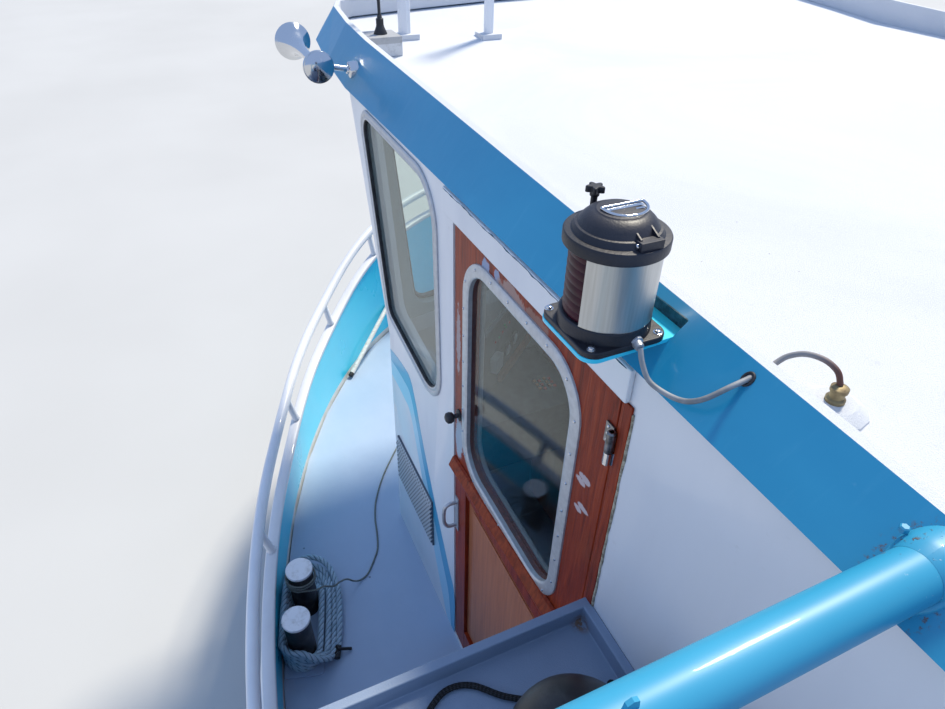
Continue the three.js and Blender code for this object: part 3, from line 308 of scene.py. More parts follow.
def spun(profile, at, axis="Z", sides=48, first=0.0, sweep=360.0):
    """A turned body; profile rows are radius and height along the axis."""
    full = sweep >= 360
    count, rows = sides if full else sides + 1, len(profile)
    points = []
    for radius, height in profile:
        for k in range(count):
            a = math.radians(first + sweep * k / sides)
            u, v = radius * math.cos(a), radius * math.sin(a)
            offset = {"Z": (u, v, height), "X": (height, u, v), "Y": (v, height, u)}[axis]
            points.append(Vector(at) + Vector(offset))
    order = list(range(rows))
    faces = strip_faces(order if full else order + [0], count, closed=full)
    if not full:
        faces += [[i * count for i in order], [i * count + count - 1 for i in order][::-1]]
    return points, faces


BOX_FACES = [(0, 1, 3, 2), (4, 6, 7, 5), (0, 4, 5, 1), (2, 3, 7, 6), (0, 2, 6, 4), (1, 5, 7, 3)]


def solid_box(x0, x1, y0, y1, z0, z1):
    return [Vector((x, y, z)) for x in (x0, x1) for y in (y0, y1) for z in (z0, z1)], BOX_FACES


def merged(parts):
    """Several shapes as one."""
    points, faces = [], []
    for part in parts:
        shift = len(points)
        points += part[0]
        faces += [tuple(i + shift for i in face) for face in part[1]]
    return points, faces


def soft_outline(corners, steps=8):
    """Corner rows of a, b and radius as an outline with round corners."""
    out = []
    for i, (a, b, radius) in enumerate(corners):
        here = Vector((a, b))
        before = (Vector(corners[i - 1][:2]) - here).normalized()
        after = (Vector(corners[(i + 1) % len(corners)][:2]) - here).normalized()
        half = before.angle(after) / 2
        middle = here + (before + after).normalized() * (radius / math.sin(half))
        start, end = (here + way * (radius / math.tan(half)) - middle for way in (before, after))
        first = math.atan2(*start.yx)
        turned = (math.atan2(*end.yx) - first + math.pi) % (2 * math.pi) - math.pi
        out += arc(middle, radius, math.degrees(first), math.degrees(first + turned), steps)
    return out


def soft_box(a0, a1, b0, b1, radius, steps=8):
    return soft_outline([(a0, b0, radius), (a1, b0, radius), (a1, b1, radius), (a0, b1, radius)], steps)


def outset(outline, out):
    """A closed outline moved outwards."""
    area = sum(a.x * b.y - b.x * a.y for a, b in zip(outline, outline[1:] + outline[:1]))
    moved = []
    for i, here in enumerate(outline):
        along = (outline[(i + 1) % len(outline)] - outline[i - 1]).normalized()
        moved.append(here + Vector((along.y, -along.x)) * (out if area > 0 else -out))
    return moved


def frame_round(outline, section, to_space):
    """A frame along a closed outline; section rows are distance outwards and height off the plane."""
    lines = [(outset(outline, out), height) for out, height in section]
    return lofted([[Vector(to_space(*line[i], height)) for line, height in lines]
                   for i in range(len(outline))], close=True)


def side_plane(y):
    return lambda a, b, h: (a, y + h, b)


def spaced(outline, out, pitch):
    """Points a pitch apart along a closed outline, moved outwards."""
    line = outset(outline, out)
    line.append(line[0])
    total = sum((b - a).length for a, b in zip(line, line[1:]))
    count = round(total / pitch)
    spots, gone, aim = [], 0.0, 0.0
    for a, b in zip(line, line[1:]):
        length = (b - a).length
        while aim < gone + length and len(spots) < count:
            spots.append(a.lerp(b, (aim - gone) / length))
            aim += total / count
        gone += length
    return spots


def plate(outline, z0, z1, ease=0.0015):
    """A flat plate with an outline in plan, its upper edge eased."""
    middle = sum(outline, Vector((0, 0))) / len(outline)
    return lofted([[(*(p + (middle - p).normalized() * inset), z) for p in outline]
                   for inset, z in ((0, z0), (0, z1 - ease), (ease, z1))])


def board_with_window(rect, hole, front, back, to_space):
    """A board with a window: rows run from the hole's edge out to the board's edge."""
    a0, a1, b0, b1 = rect
    centre = Vector(((a0 + a1) / 2, (b0 + b1) / 2))
    ring = list(hole)
    for corner in (Vector((a0, b0)), Vector((a1, b0)), Vector((a1, b1)), Vector((a0, b1))):
        aim = math.atan2(*(corner - centre).yx)
        for i, here in enumerate(ring):
            after = ring[(i + 1) % len(ring)]
            s0, s1 = (math.atan2(*(p - centre).yx) for p in (here, after))
            step, part = ((angle - s0 + math.pi) % (2 * math.pi) - math.pi for angle in (s1, aim))
            if step and 0 <= part / step < 1:
                ring.insert(i + 1, here.lerp(after, part / step))
                break
    rings, halves = [], ((a1 - a0) / 2, (b1 - b0) / 2)
    for inner in ring:
        way = inner - centre
        reach = min(abs(half / size) if size else 9 for half, size in zip(halves, way))
        edge = centre + way * reach
        rings.append([Vector(to_space(*p, depth)) for p, depth in
                      ((inner, front), (edge, front), (edge, back), (inner, back))])
    return lofted(rings, close=True)


def cushion(x0, x1, y0, y1, z0, z1, axis="Z"):
    """A stuffed cushion: round corners, a soft rim and a crowned face towards +axis."""
    crown, steps, inner = 0.014, 10, 0.012
    centre = Vector(((x0 + x1) / 2, (y0 + y1) / 2, (z0 + z1) / 2))
    half = Vector(((x1 - x0) / 2, (y1 - y0) / 2, (z1 - z0) / 2))
    order = {"Z": (0, 1, 2), "X": (2, 1, 0)}[axis]
    a, b, c = (half[i] for i in order)
    outline = soft_box(-a, a, -b, b, 0.035, 6)
    rim = min(c, 0.018)
    levels = [(0.006, 1, -c), (0.0, 1, -c + 0.005), (0.0, 1, c - crown - rim * 0.6),
              (0.004, 1, c - crown - rim * 0.25), (inner, 1, c - crown)]
    levels += [(inner, 1 - step / steps, c - crown + crown * (1 - (1 - step / steps) ** 2.4))
               for step in range(1, steps)]
    rings = []
    for inset, share, height in levels:
        rings.append([])
        for p in outline:
            spot = centre.copy()
            for i, value in zip(order, (*(p * (1 - inset / max(p.length, 0.01)) * share), height)):
                spot[i] += value
            rings[-1].append(spot)
    return lofted(rings)


# Pieces
# Each rides on a body of the part, and the nodes that it stands for are hidden.
def placed(name, mesh, body="boat", replaces=(), smooth=40):
    """A mesh as a piece, smooth up to an angle in degrees between its faces."""
    mesh.update()
    if smooth:
        mesh.shade_smooth()
        mesh.set_sharp_from_angle(angle=math.radians(smooth))
    piece = bpy.data.objects.new(name, mesh)
    bpy.context.collection.objects.link(piece)
    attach(piece, body)
    if replaces:
        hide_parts(*replaces)
    return piece


def new_piece(name, shape, material, replaces=(), smooth=40, uvs=None):
    """A shape as it is, with its UVs where it has a weave."""
    mesh = bpy.data.meshes.new(name)
    mesh.from_pydata([tuple(p) for p in shape[0]], [], [tuple(f) for f in shape[1]])
    mesh.materials.append(material)
    if uvs:
        layer = mesh.uv_layers.new(name="along")
        for loop, uv in zip(layer.data, uvs):
            loop.uv = uv
    return placed(name, mesh, "boat", replaces, smooth)


def soften(piece, width, segments=2, harden=True):
    edge = piece.modifiers.new("edge", "BEVEL")
    edge.width, edge.segments, edge.limit_method = width, segments, "ANGLE"
    edge.angle_limit = math.radians(40)
    edge.harden_normals = harden


def finish_mesh(mesh, bm, materials, pick):
    """Gives each face its material by pick(centre, normal) and writes the mesh."""
    for face in bm.faces:
        face.material_index = pick(face.calc_center_median(), face.normal) if pick else 0
    bm.to_mesh(mesh)
    bm.free()
    for material in materials:
        mesh.materials.append(material)


def outward(name, shape, *materials, slot=None, body="boat", replaces=(), smooth=40, pick=None, side=1,
            edge=0.0):
    """A closed shell, or a list of them, made to face outwards; side -1 mirrors it to starboard."""
    points, faces = merged(shape) if isinstance(shape, list) else shape[:2]
    mesh = bpy.data.meshes.new(name)
    mesh.from_pydata([(p[0], p[1] * side, p[2]) for p in points], [], faces)
    bm = bmesh.new()
    bm.from_mesh(mesh)
    bmesh.ops.remove_doubles(bm, verts=bm.verts, dist=1e-6)
    bmesh.ops.recalc_face_normals(bm, faces=bm.faces)
    if bm.calc_volume(signed=True) < 0:
        bmesh.ops.reverse_faces(bm, faces=bm.faces)
    finish_mesh(mesh, bm, materials, pick)
    piece = placed(name, mesh, body, replaces, smooth)
    if edge:
        soften(piece, edge)
    return piece


def dressed(node, *materials, bevel=0.0, smooth=35, pick=None, segments=2):
    """A copy of a CAD node's mesh with whole faces, soft edges and its own finish."""
    mesh = frame["nodes"][node].data.copy()
    mesh.name = f"{node}_dressed"
    mesh.materials.clear()
    bm = bmesh.new()
    bm.from_mesh(mesh)
    bmesh.ops.remove_doubles(bm, verts=bm.verts, dist=1e-5)
    bmesh.ops.dissolve_limit(bm, angle_limit=math.radians(0.4), verts=bm.verts, edges=bm.edges)
    finish_mesh(mesh, bm, materials, pick)
    record = frame["record"]
    body = next(b for b, nodes in record["behaviour"]["bodies"].items() if node in nodes)
    piece = placed(f"{node}_skin", mesh, body, [node], smooth)
    if bevel:
        soften(piece, bevel, segments)
    return piece


def link_all(tree, *pairs):
    for start, end in pairs:
        tree.links.new(start, end)


# Screw heads
# One node tree sets a low cone on each of a mesh's points.
screw_tree = bpy.data.node_groups.new("screw_heads", "GeometryNodeTree")
face_of = screw_tree.interface
for label, kind in (("Geometry", "Geometry"), ("Head radius", "Float"), ("Head height", "Float"),
                    ("Turn", "Vector"), ("Finish", "Material")):
    face_of.new_socket(label, in_out="INPUT", socket_type=f"NodeSocket{kind}")
face_of.new_socket("Geometry", in_out="OUTPUT", socket_type="NodeSocketGeometry")
given, head, spread, real, finish, result, shrink = (screw_tree.nodes.new(kind) for kind in (
    "NodeGroupInput", "GeometryNodeMeshCone", "GeometryNodeInstanceOnPoints", "GeometryNodeRealizeInstances",
    "GeometryNodeSetMaterial", "NodeGroupOutput", "ShaderNodeMath"))
head.inputs["Vertices"].default_value = 10
shrink.operation = "MULTIPLY"
shrink.inputs[1].default_value = 0.62
link_all(screw_tree,
         (given.outputs["Geometry"], spread.inputs["Points"]),
         (given.outputs["Head radius"], head.inputs["Radius Bottom"]),
         (given.outputs["Head radius"], shrink.inputs[0]),
         (shrink.outputs[0], head.inputs["Radius Top"]),
         (given.outputs["Head height"], head.inputs["Depth"]),
         (head.outputs["Mesh"], spread.inputs["Instance"]),
         (given.outputs["Turn"], spread.inputs["Rotation"]),
         (spread.outputs[0], real.inputs[0]),
         (real.outputs[0], finish.inputs["Geometry"]),
         (given.outputs["Finish"], finish.inputs["Material"]),
         (finish.outputs[0], result.inputs[0]))
SCREW_INPUTS = {item.name: item.identifier for item in face_of.items_tree if item.in_out == "INPUT"}


def screws(name, spots, turned_by, radius, height, material, body="boat"):
    """Screw heads at the given points, all turned the same way, as one mesh."""
    seeds = bpy.data.meshes.new(name)
    seeds.from_pydata([tuple(p) for p in spots], [], [])
    holder = bpy.data.objects.new(f"{name}_seeds", seeds)
    bpy.context.collection.objects.link(holder)
    maker = holder.modifiers.new("heads", "NODES")
    maker.node_group = screw_tree
    for label, value in (("Head radius", radius), ("Head height", height), ("Turn", turned_by),
                         ("Finish", material)):
        maker[SCREW_INPUTS[label]] = value
    graph = bpy.context.evaluated_depsgraph_get()
    mesh = bpy.data.meshes.new_from_object(holder.evaluated_get(graph))
    mesh.name = name
    bpy.data.objects.remove(holder)
    return placed(name, mesh, body)


def add_cord(name, node, route, step, section, material,
             pitch=0.0):
    """A cord along a route, with its points a step apart."""
    line = evenly(route, step)
    shape = skin_round(line, section, pitch)
    cord = new_piece(name, shape, material, replaces=[node], smooth=60, uvs=shape[2])
    round(sum((b - a).length for a, b in zip(line, line[1:])), 3)


# Mooring rope
# Laid rope of three strands, 24 mm thick, pale blue-green polypropylene. It is wound round the
# port forward bitts, tight aft and outboard, slack forward and inboard, and ends whipped.
place = start_material("rope_blue", uv=True)
fibres = place.stretched(60, 260, 1).noise(3.0, 4.0, 0.6)
fading = place.stretched(1, 3, 1).noise(2.2, 3.0)
round_it = place.axis("X") * 3
groove = (round_it.math("FRACT", round_it) - 0.5).absolute()
rope_tone = fading.between(0.32, 0.7).mix((0.38, 0.54, 0.66), (0.52, 0.67, 0.78))
rope_tone = fibres.between(0.5, 0.8).mix(rope_tone, (0.76, 0.86, 0.89))
# Painted shade: the grooves between the strands are painted darker.
rope_tone = ((1 - groove.between(0.02, 0.2)) * 0.75).mix(rope_tone, (0.1, 0.17, 0.22))
rope_blue = finish_material(place, rope_tone, 0.85, fibres, 0.002)
place = start_material("black_tape")
black_tape = finish_material(place, (0.012, 0.012, 0.014), 0.35 + 0.3 * place.noise(160), place.noise(90))

BITTS_AT, BITTS_TURN, POST_SPAN = (7.377, 1.85), -0.263, 0.108


def by_bitts(u, v, z):
    c, s = math.cos(BITTS_TURN), math.sin(BITTS_TURN)
    return Vector((BITTS_AT[0] + u * c - v * s, BITTS_AT[1] + u * s + v * c, z))


# A row for each turn: distance from the post and height of the rope's middle, forward, inboard,
# aft and outboard
TURNS = [
    ((0.064, 0.7228), (0.064, 0.7228), (0.064, 0.7228), (0.064, 0.7230)),
    ((0.070, 0.7470), (0.065, 0.7475), (0.065, 0.7475), (0.065, 0.7480)),
    ((0.095, 0.7245), (0.067, 0.7720), (0.065, 0.7725), (0.065, 0.7730)),
    ((0.121, 0.7260), (0.091, 0.7270), (0.066, 0.7970), (0.066, 0.7975)),
    ((0.149, 0.7300), (0.094, 0.7520), (0.066, 0.8215), (0.068, 0.8220)),
    ((0.176, 0.7430), (0.113, 0.7330), (0.068, 0.8430), (0.072, 0.8460)),
    ((0.203, 0.7660), (0.136, 0.7400)),
]
stations = [value for row in TURNS for value in row]
rope_route = []
for k, ((r0, z0), (r1, z1)) in enumerate(zip(stations, stations[1:])):
    for part in range(6):
        a = math.pi / 2 * part / 6
        to_end = (math.cos(a) if k % 2 == 0 else math.sin(a))
        end_r, side_r = (r0, r1) if k % 2 == 0 else (r1, r0)
        radius = end_r * to_end ** 4 + side_r * (1 - to_end ** 4)
        height = z0 + (z1 - z0) * (math.sin(a) ** 2)
        angle = -(math.pi / 2 * k + a)
        c, s = math.cos(angle), math.sin(angle)
        middle = POST_SPAN * max(-1, min(1, 4 * c))
        rope_route.append(by_bitts(middle + radius * c, radius * s, height))
rope_route += [by_bitts(*p) for p in ((0.0, -0.136, 0.736), (-0.05, -0.134, 0.728), (-0.1, -0.13, 0.7235),
                                      (-0.143, -0.126, 0.7228))]
rope_route = flowing(rope_route, 6)
rope_line = evenly(rope_route, 0.006)

# The end is wrapped in black tape, with a short toggle through it
tape_line = [rope_line[-1].lerp(rope_line[-9], share) for share in (0.95, 0.6, 0.3, 0.0, -0.08)]
tape = new_piece("rope_end_tape", skin_round(tape_line, plain_round(0.0128, 14)), black_tape, smooth=50)
toggle_line = [by_bitts(*p) for p in ((-0.118, -0.128, 0.7395), (-0.114, -0.15, 0.726),
                                      (-0.108, -0.18, 0.7095))]
toggle = new_piece("rope_toggle", rod(toggle_line, 0.0062, 10), black_tape, smooth=50)
add_cord("mooring_rope_strands", "mooring_rope", rope_route, 0.006, laid(0.013), rope_blue,
         pitch=0.078)

# Thin deck line
# A grey laid line of 8 mm, two and a half turns round the forward bitt and then loose along
# the deck past the wheelhouse.
place = start_material("line_grey", uv=True)
fibres = place.stretched(30, 300, 1).noise(3.0, 3.0)
line_grey = finish_material(place, fibres.between(0.3, 0.7).mix((0.13, 0.15, 0.14), (0.3, 0.33, 0.31)), 0.85,
                            fibres, 0.0008)
line_post = by_bitts(POST_SPAN, 0, 0)
line_route = [(line_post.x + 0.057 * math.cos(math.pi * i / 6),
               line_post.y + 0.057 * math.sin(math.pi * i / 6), 0.935 - 0.016 * i / 12) for i in range(31)]
line_route += [(7.424, 1.795, 0.884), (7.428, 1.768, 0.872), (7.436, 1.745, 0.866), (7.452, 1.722, 0.83),
               (7.466, 1.7, 0.802), (7.48, 1.668, 0.797), (7.492, 1.64, 0.778), (7.502, 1.612, 0.735),
               (7.514, 1.582, 0.7085)]
line_route += [(x, y, 0.7045) for x, y in ((7.535, 1.543), (7.592, 1.497), (7.647, 1.463), (7.729, 1.44),
                                           (7.809, 1.424), (7.893, 1.397), (7.957, 1.366), (8.024, 1.327),
                                           (8.094, 1.279), (8.187, 1.205), (8.29, 1.12), (8.39, 1.06))]
add_cord("deck_line_strands", "deck_line", flowing(line_route, 8), 0.004, laid(0.0044, 4), line_grey,
         pitch=0.026)

# Side lights' cables
# Grey rubber cable of 8 mm. It hangs in a short bend from the light's gland to a grommet in the
# blue fascia, on both sides, and to port it arches on over the roof to a gland of brass.
cable_grey = mottled("cable_grey", "grey_plastic", (30, 3.0), (0.35, 0.7),
                     ((0.2, 0.21, 0.22), (0.33, 0.34, 0.35)), 0.55, (400,), 0.0003)
LIGHT_ROUTE = flowing([(6.3596, 1.333, 2.684), (6.345, 1.335, 2.664), (6.325, 1.331, 2.645),
                       (6.283, 1.317, 2.644), (6.254, 1.307, 2.663), (6.242, 1.274, 2.684),
                       (6.24, 1.24, 2.6925)], 4)
for side, name in SIDES:
    route = flowing([(x, y * side, z) for x, y, z in LIGHT_ROUTE], 4)
    add_cord(f"{name}_cable_sheath", f"{name}_light_cable", route, 0.004, plain_round(0.004), cable_grey)
place = start_material("cable_brown")
aged = place.axis("X").between(6.175, 6.225)
cable_brown = finish_material(place, aged.mix((0.12, 0.045, 0.03), (0.27, 0.26, 0.26)), 0.6,
                              place.noise(300), 0.0004)
ROOF_ROUTE = flowing([(6.2415, 1.213, 2.696), (6.2425, 1.203, 2.701), (6.239, 1.189, 2.711),
                      (6.224, 1.177, 2.722), (6.202, 1.168, 2.725), (6.183, 1.163, 2.718),
                      (6.1735, 1.162, 2.703)], 3)
add_cord("roof_cable_sheath", "roof_cable", flowing(ROOF_ROUTE, 4), 0.004, plain_round(0.004), cable_brown)

# Fender rope
# Black braided rope of 12 mm from the fender's eye, in a loose bend along the tray, knotted
# at its end.
place = start_material("rope_black", uv=True)
across, along = place.axis("X") * 37.7, place.axis("Y") * 420
weave = (across + along).sine() * (across - along).sine()
# Painted shade: the braid's low cells are painted darker than its raised ones, following the weave's bump;
# the rope itself is black.
braid_tone_with_shade = weave.between(-0.2, 0.6).mix((0.006, 0.006, 0.007), (0.035, 0.035, 0.04))
rope_black = finish_material(place, braid_tone_with_shade, 0.8, weave, 0.0015)
FENDER_ROUTE = [(5.484, 1.505, 2.0733), (5.45, 1.512, 2.062), (5.424, 1.55, 2.01), (5.44, 1.62, 1.968)]
FENDER_ROUTE += [(x, y, 1.962) for x, y in (
    (5.52, 1.69), (5.76, 1.735), (6.04, 1.73), (6.23, 1.728), (6.31, 1.7), (6.345, 1.662), (6.354, 1.625),
    (6.34, 1.586), (6.298, 1.54), (6.264, 1.48), (6.248, 1.42))]
FENDER_ROUTE += [(6.23, 1.368, 1.964), (6.226, 1.352, 1.968)]
knot_line = [Vector((6.226 + 0.0085 * math.cos(2.2 * a), 1.346 + 0.01 * math.sin(1.1 * a) * math.cos(a * 0.5),
                     1.9705 + 0.0075 * math.sin(2.2 * a + 0.6))) for a in (i * 0.22 for i in range(26))]
knot_shape = skin_round(knot_line, plain_round(0.0062, 10))
knot = new_piece("fender_rope_knot", knot_shape, rope_black, smooth=80, uvs=knot_shape[2])
add_cord("fender_rope_braid", "fender_rope", flowing(FENDER_ROUTE, 8), 0.006, plain_round(0.006, 14),
         rope_black)

# Floor and light
# A pale floor at the waterline, open where the boat's hull passes through it, a soft high sun
# from starboard ahead, and an even pale sky.
FLOOR_REACH = 90.0
floor_pale = mottled("floor_pale", "", (0.4,), (0.2, 0.8), ((0.5, 0.495, 0.48), (0.54, 0.535, 0.52)), 0.9)


def rounded_end(start, end, half, power, steps):
    """Half of an outline in plan, from its full width at start to its tip at end."""
    return [(start + (end - start) * math.sin(a) ** (2 / power), half * math.cos(a) ** (2 / power))
            for a in (math.pi / 2 * i / steps for i in range(steps + 1))]


# The opening's edge lies 40 mm inside the hull's skin
opening = rounded_end(-8.08, -9.48, 2.015, 2.6, 40)[::-1] + rounded_end(4.8, 9.2, 2.015, 1.82, 40)
opening += [(x, -y) for x, y in opening[-2:0:-1]]
bearings = [math.atan2(y, x) for x, y in opening]
far_edge = [(FLOOR_REACH * math.cos(a), FLOOR_REACH * math.sin(a)) for a in bearings]
mesh = bpy.data.meshes.new("floor")
mesh.from_pydata([(x, y, 0.0) for x, y in opening + far_edge], [], strip_faces([0, 1], len(opening)))
mesh.materials.append(floor_pale)
floor = bpy.data.objects.new("floor", mesh)
bpy.context.collection.objects.link(floor)

world = bpy.data.worlds.new("sky")
bpy.context.scene.world = world
world.use_nodes = True
sky = world.node_tree.nodes["Background"].inputs
sky["Color"].default_value = (0.44, 0.62, 1.0, 1)
sky["Strength"].default_value = 0.84
sun = bpy.data.objects.new("sun", bpy.data.lights.new("sun", "SUN"))
sun.data.energy = 4.5
sun.data.angle = math.radians(9)
sun.data.color = (1.0, 0.92, 0.76)
sun.rotation_euler = Vector((0.36, -0.62, 0.95)).to_track_quat("Z", "Y").to_euler()
bpy.context.collection.objects.link(sun)
bpy.context.scene.view_settings.view_transform = "Standard"

# Hull, deck and strake
# A welded steel hull: black bottom paint, a white line at the water, blue topsides, a white
# rubbing strake, and a deck of grey-blue gloss paint worn by feet and ropes.
BOTTOM_TONES = ((0.016, 0.018, 0.024), (0.045, 0.05, 0.048))
place = start_material("hull_paint")
height = place.axis("Z") + place.noise(1.3, 4.0) * 0.02
weather = place.stretched(1.2, 1.2, 0.25).noise(3.0, 5.0, 0.6)
topsides = weather.between(0.35, 0.75).mix((0.02, 0.105, 0.23), (0.03, 0.15, 0.31))
bottom = place.noise(5.0, 5.0).between(0.4, 0.7).mix(*BOTTOM_TONES)
line_white = weather.between(0.4, 0.8).mix((0.72, 0.73, 0.74), (0.52, 0.53, 0.5))
growth = (place.stretched(2, 2, 0.5).noise(4.0, 5.0) * 0.08 + 0.02 - place.axis("Z")).between(-0.02, 0.02)
hull_colour = height.above(0.1).mix(bottom, height.above(0.17).mix(line_white, topsides))
hull_colour = (growth * 0.6).mix(hull_colour, (0.05, 0.065, 0.03))
hull_paint = finish_material(place, hull_colour, weather.between(0.3, 0.8) * 0.25 + 0.25,
                             place.noise(2.2, 3.0), 0.004, coat_weight=0.2)
dressed("hull", hull_paint)

place = start_material("white_gloss")
patina = place.stretched(1, 1, 0.3).noise(4.0, 6.0, 0.6)
dirt = place.noise(55, 3.0).between(0.62, 0.8) * place.noise(6, 3.0).between(0.5, 0.7)
white = patina.between(0.35, 0.8).mix((0.8, 0.81, 0.83), (0.72, 0.73, 0.76))
white = (dirt * 0.35).mix(white, (0.42, 0.4, 0.36))
white_gloss = finish_material(place, white, patina.between(0.3, 0.8) * 0.2 + 0.28, place.noise(14, 3.0),
                              0.0006, coat_weight=0.25)
dressed("rubbing_strake", white_gloss, smooth=60)

place = start_material("deck_gloss")
wear = place.noise(1.6, 6.0, 0.65)
scuffs = place.noise(38, 4.0, 0.7).between(0.6, 0.78)
spots = place.specks(9, 0.06) * place.noise(3, 2.0).between(0.5, 0.6)
deck_colour = wear.between(0.3, 0.75).mix((0.345, 0.45, 0.6), (0.4, 0.5, 0.65))
deck_colour = (scuffs * 0.35).mix(deck_colour, (0.44, 0.5, 0.57))
deck_colour = (spots * 0.8).mix(deck_colour, (0.05, 0.055, 0.07))
deck_gloss = finish_material(place, deck_colour, wear.between(0.25, 0.8) * 0.3 + 0.28,
                             place.noise(5, 4.0) + place.noise(160, 2.0) * 0.05, 0.0025, coat_weight=0.2)
dressed("deck", deck_gloss)
floor_sheet = mottled("floor_sheet", "", (3, 4.0), (0.3, 0.7), ((0.05, 0.06, 0.075), (0.09, 0.1, 0.12)), 0.6,
                      (220, 2.0), 0.0006)
dressed("saloon_floor", floor_sheet)

# Bulwarks
# Upright steel plate round the deck's edge, cyan inside and blue outside, with a cream line
# at its foot inside and a flat cap of white paint on top.
HALF_WIDTH, BOW_FROM, BOW_LENGTH = 2.05, 6.344, 3.256
SHEER = [(-9.8, 0.33), (-8.0, 0.28), (8.15, 0.28), (8.55, 0.385), (8.87, 0.445), (9.2, 0.6), (9.8, 0.78)]


def deck_edge(first=-9.6):
    """Points of the deck's port edge from stern to bow, each with its outward direction."""
    line = rounded_end(-8.2, -9.6, HALF_WIDTH, 2.6, 28)[::-1]
    line += [(-8.2 + i * (BOW_FROM + 8.2) / 24, HALF_WIDTH) for i in range(1, 24)]
    line += rounded_end(BOW_FROM, BOW_FROM + BOW_LENGTH, HALF_WIDTH, 2, 64)
    out = [(*line[0], -1.0, 0.0)]
    for (ax, ay), here, (bx, by) in zip(line, line[1:], line[2:]):
        size = math.hypot(bx - ax, by - ay)
        out.append((*here, -(by - ay) / size, (bx - ax) / size))
    out.append((*line[-1], 1.0, 0.0))
    return [row for row in out if first <= row[0]]


def eased(table, x, reach):
    """A table's value at x, averaged over a reach to both sides so that it has no corners."""
    total = 0.0
    for shift in (-reach, -reach / 2, 0, reach / 2, reach):
        at = min(max(x + shift, table[0][0]), table[-1][0])
        (x0, v0), (x1, v1) = next(pair for pair in zip(table, table[1:]) if at <= pair[1][0])
        total += v0 + (v1 - v0) * (at - x0) / (x1 - x0)
    return total / 5


def sheer(x):
    """Height of the cap's top."""
    return DECK + eased(SHEER, x, 0.15)


place = start_material("bulwark_cyan")
patina = place.stretched(1, 1, 0.5).noise(3.0, 5.0, 0.6)
chips = place.noise(60, 4.0, 0.7).between(0.7, 0.76) * place.noise(4, 2.0).between(0.45, 0.6)
cyan = patina.between(0.3, 0.75).mix((0.035, 0.68, 0.9), (0.06, 0.73, 0.93))
cyan = (chips * 0.7).mix(cyan, (0.16, 0.11, 0.08))
bulwark_cyan = finish_material(place, cyan, patina.between(0.3, 0.8) * 0.2 + 0.25, place.noise(3.0, 3.0),
                               0.004, coat_weight=0.3)
cream_line = mottled("cream_line", "white_paint", (9, 5.0), (0.4, 0.75),
                     ((0.82, 0.8, 0.72), (0.66, 0.61, 0.52)), 0.5, (60, 3.0), 0.001)
rings = []
for x, y, nx, ny in deck_edge():
    top = sheer(x)
    section = [(0.0004, 0.6604), (0.03, 0.6604), (0.03, top - 0.025), (0.0335, top - 0.025),
               (0.036, top - 0.0225), (0.036, top - 0.004), (0.032, top), (-0.006, top), (-0.01, top - 0.004),
               (-0.01, top - 0.0225), (-0.0075, top - 0.025), (0.0004, top - 0.025), (0.0004, 0.735)]
    rings.append([(x + n * nx, max(y + n * ny, 0.0) + 0.00015, z) for n, z in section])
for side, name in SIDES:
    def plate_zone(centre, normal):
        if centre.z > sheer(centre.x) - 0.026:
            return 1
        return 2 if normal.y * side < 0 and centre.z < 0.72 else 0
    outward(f"{name}_bulwark_plate", lofted(rings), bulwark_cyan, white_gloss, cream_line,
            replaces=[f"{name}_bulwark"], smooth=50, pick=plate_zone, side=side)

# Bow rail
# White steel tube of 46 mm, carried over the cap on short slanting stanchions welded to it.
RAIL_OUT, RAIL_FOOT, RAIL_RISE = 0.042, 0.013, 0.13
rail_line = [(4.3, HALF_WIDTH + RAIL_OUT, 1.11)]
rail_line += [(x + RAIL_OUT * nx, y + RAIL_OUT * ny, sheer(x) + RAIL_RISE)
              for x, y, nx, ny in deck_edge(first=4.3)]
rail_line = rail_line[::2] + [(9.6 + RAIL_OUT, 0.0, sheer(9.6) + RAIL_RISE)]
rail_line = evenly(flowing(rail_line, 6), 0.04)
rail_line += [Vector((p.x, -p.y, p.z)) for p in reversed(rail_line[:-1])]
rail_parts = [skin_round(rail_line, plain_round(0.023, 16))]
for x in (4.45, 5.25, 6.05, 6.85, 7.6, 8.3, 8.85, 9.25):
    past = max(x - BOW_FROM, 0)
    y = HALF_WIDTH * math.sqrt(1 - (past / BOW_LENGTH) ** 2)
    normal = Vector((past / BOW_LENGTH ** 2, y / HALF_WIDTH ** 2, 0)).normalized()
    foot = Vector((x, y, sheer(x))) + normal * RAIL_FOOT
    head = Vector((x, y, sheer(x) + 0.125)) + normal * RAIL_OUT
    for side, name in SIDES:
        ends = [foot.lerp(head, share) * Vector((1, side, 1)) for share in (0, 0.04, 0.12, 1)]
        rail_parts.append(skin_round(ends, stepped((0.02, 0.02, 0.016, 0.016), 14)))
new_piece("bow_rail_tube", merged(rail_parts), white_gloss, replaces=["bow_rail"], smooth=60)

# Bar on the foredeck
# A white wooden bar of 28 mm with a black end, laid on the deck beside the port bulwark; its
# forward end leans on the plate.
bar_white = mottled("bar_white", "white_paint", (30, 4.0), (0.4, 0.75),
                    ((0.82, 0.81, 0.76), (0.62, 0.58, 0.5)), 0.5, (90, 3.0), 0.0008, (1, 1, 4))
BAR_FROM, BAR_TO = Vector((8.905, 1.238, 0.7145)), Vector((9.272, 0.872, 0.905))
for label, start, end, radii, paint in (("shaft", 0.04, 1.0, (0.0135, 0.014, 0.014, 0.0135), bar_white),
                                        ("end", 0.0, 0.04, (0.0125, 0.0145, 0.0145, 0.0138), black_tape)):
    line = [BAR_FROM.lerp(BAR_TO, start + (end - start) * share) for share in (0.0, 0.02, 0.98, 1.0)]
    new_piece(f"foredeck_bar_{label}", skin_round(line, stepped(radii, 16)), paint, smooth=50)

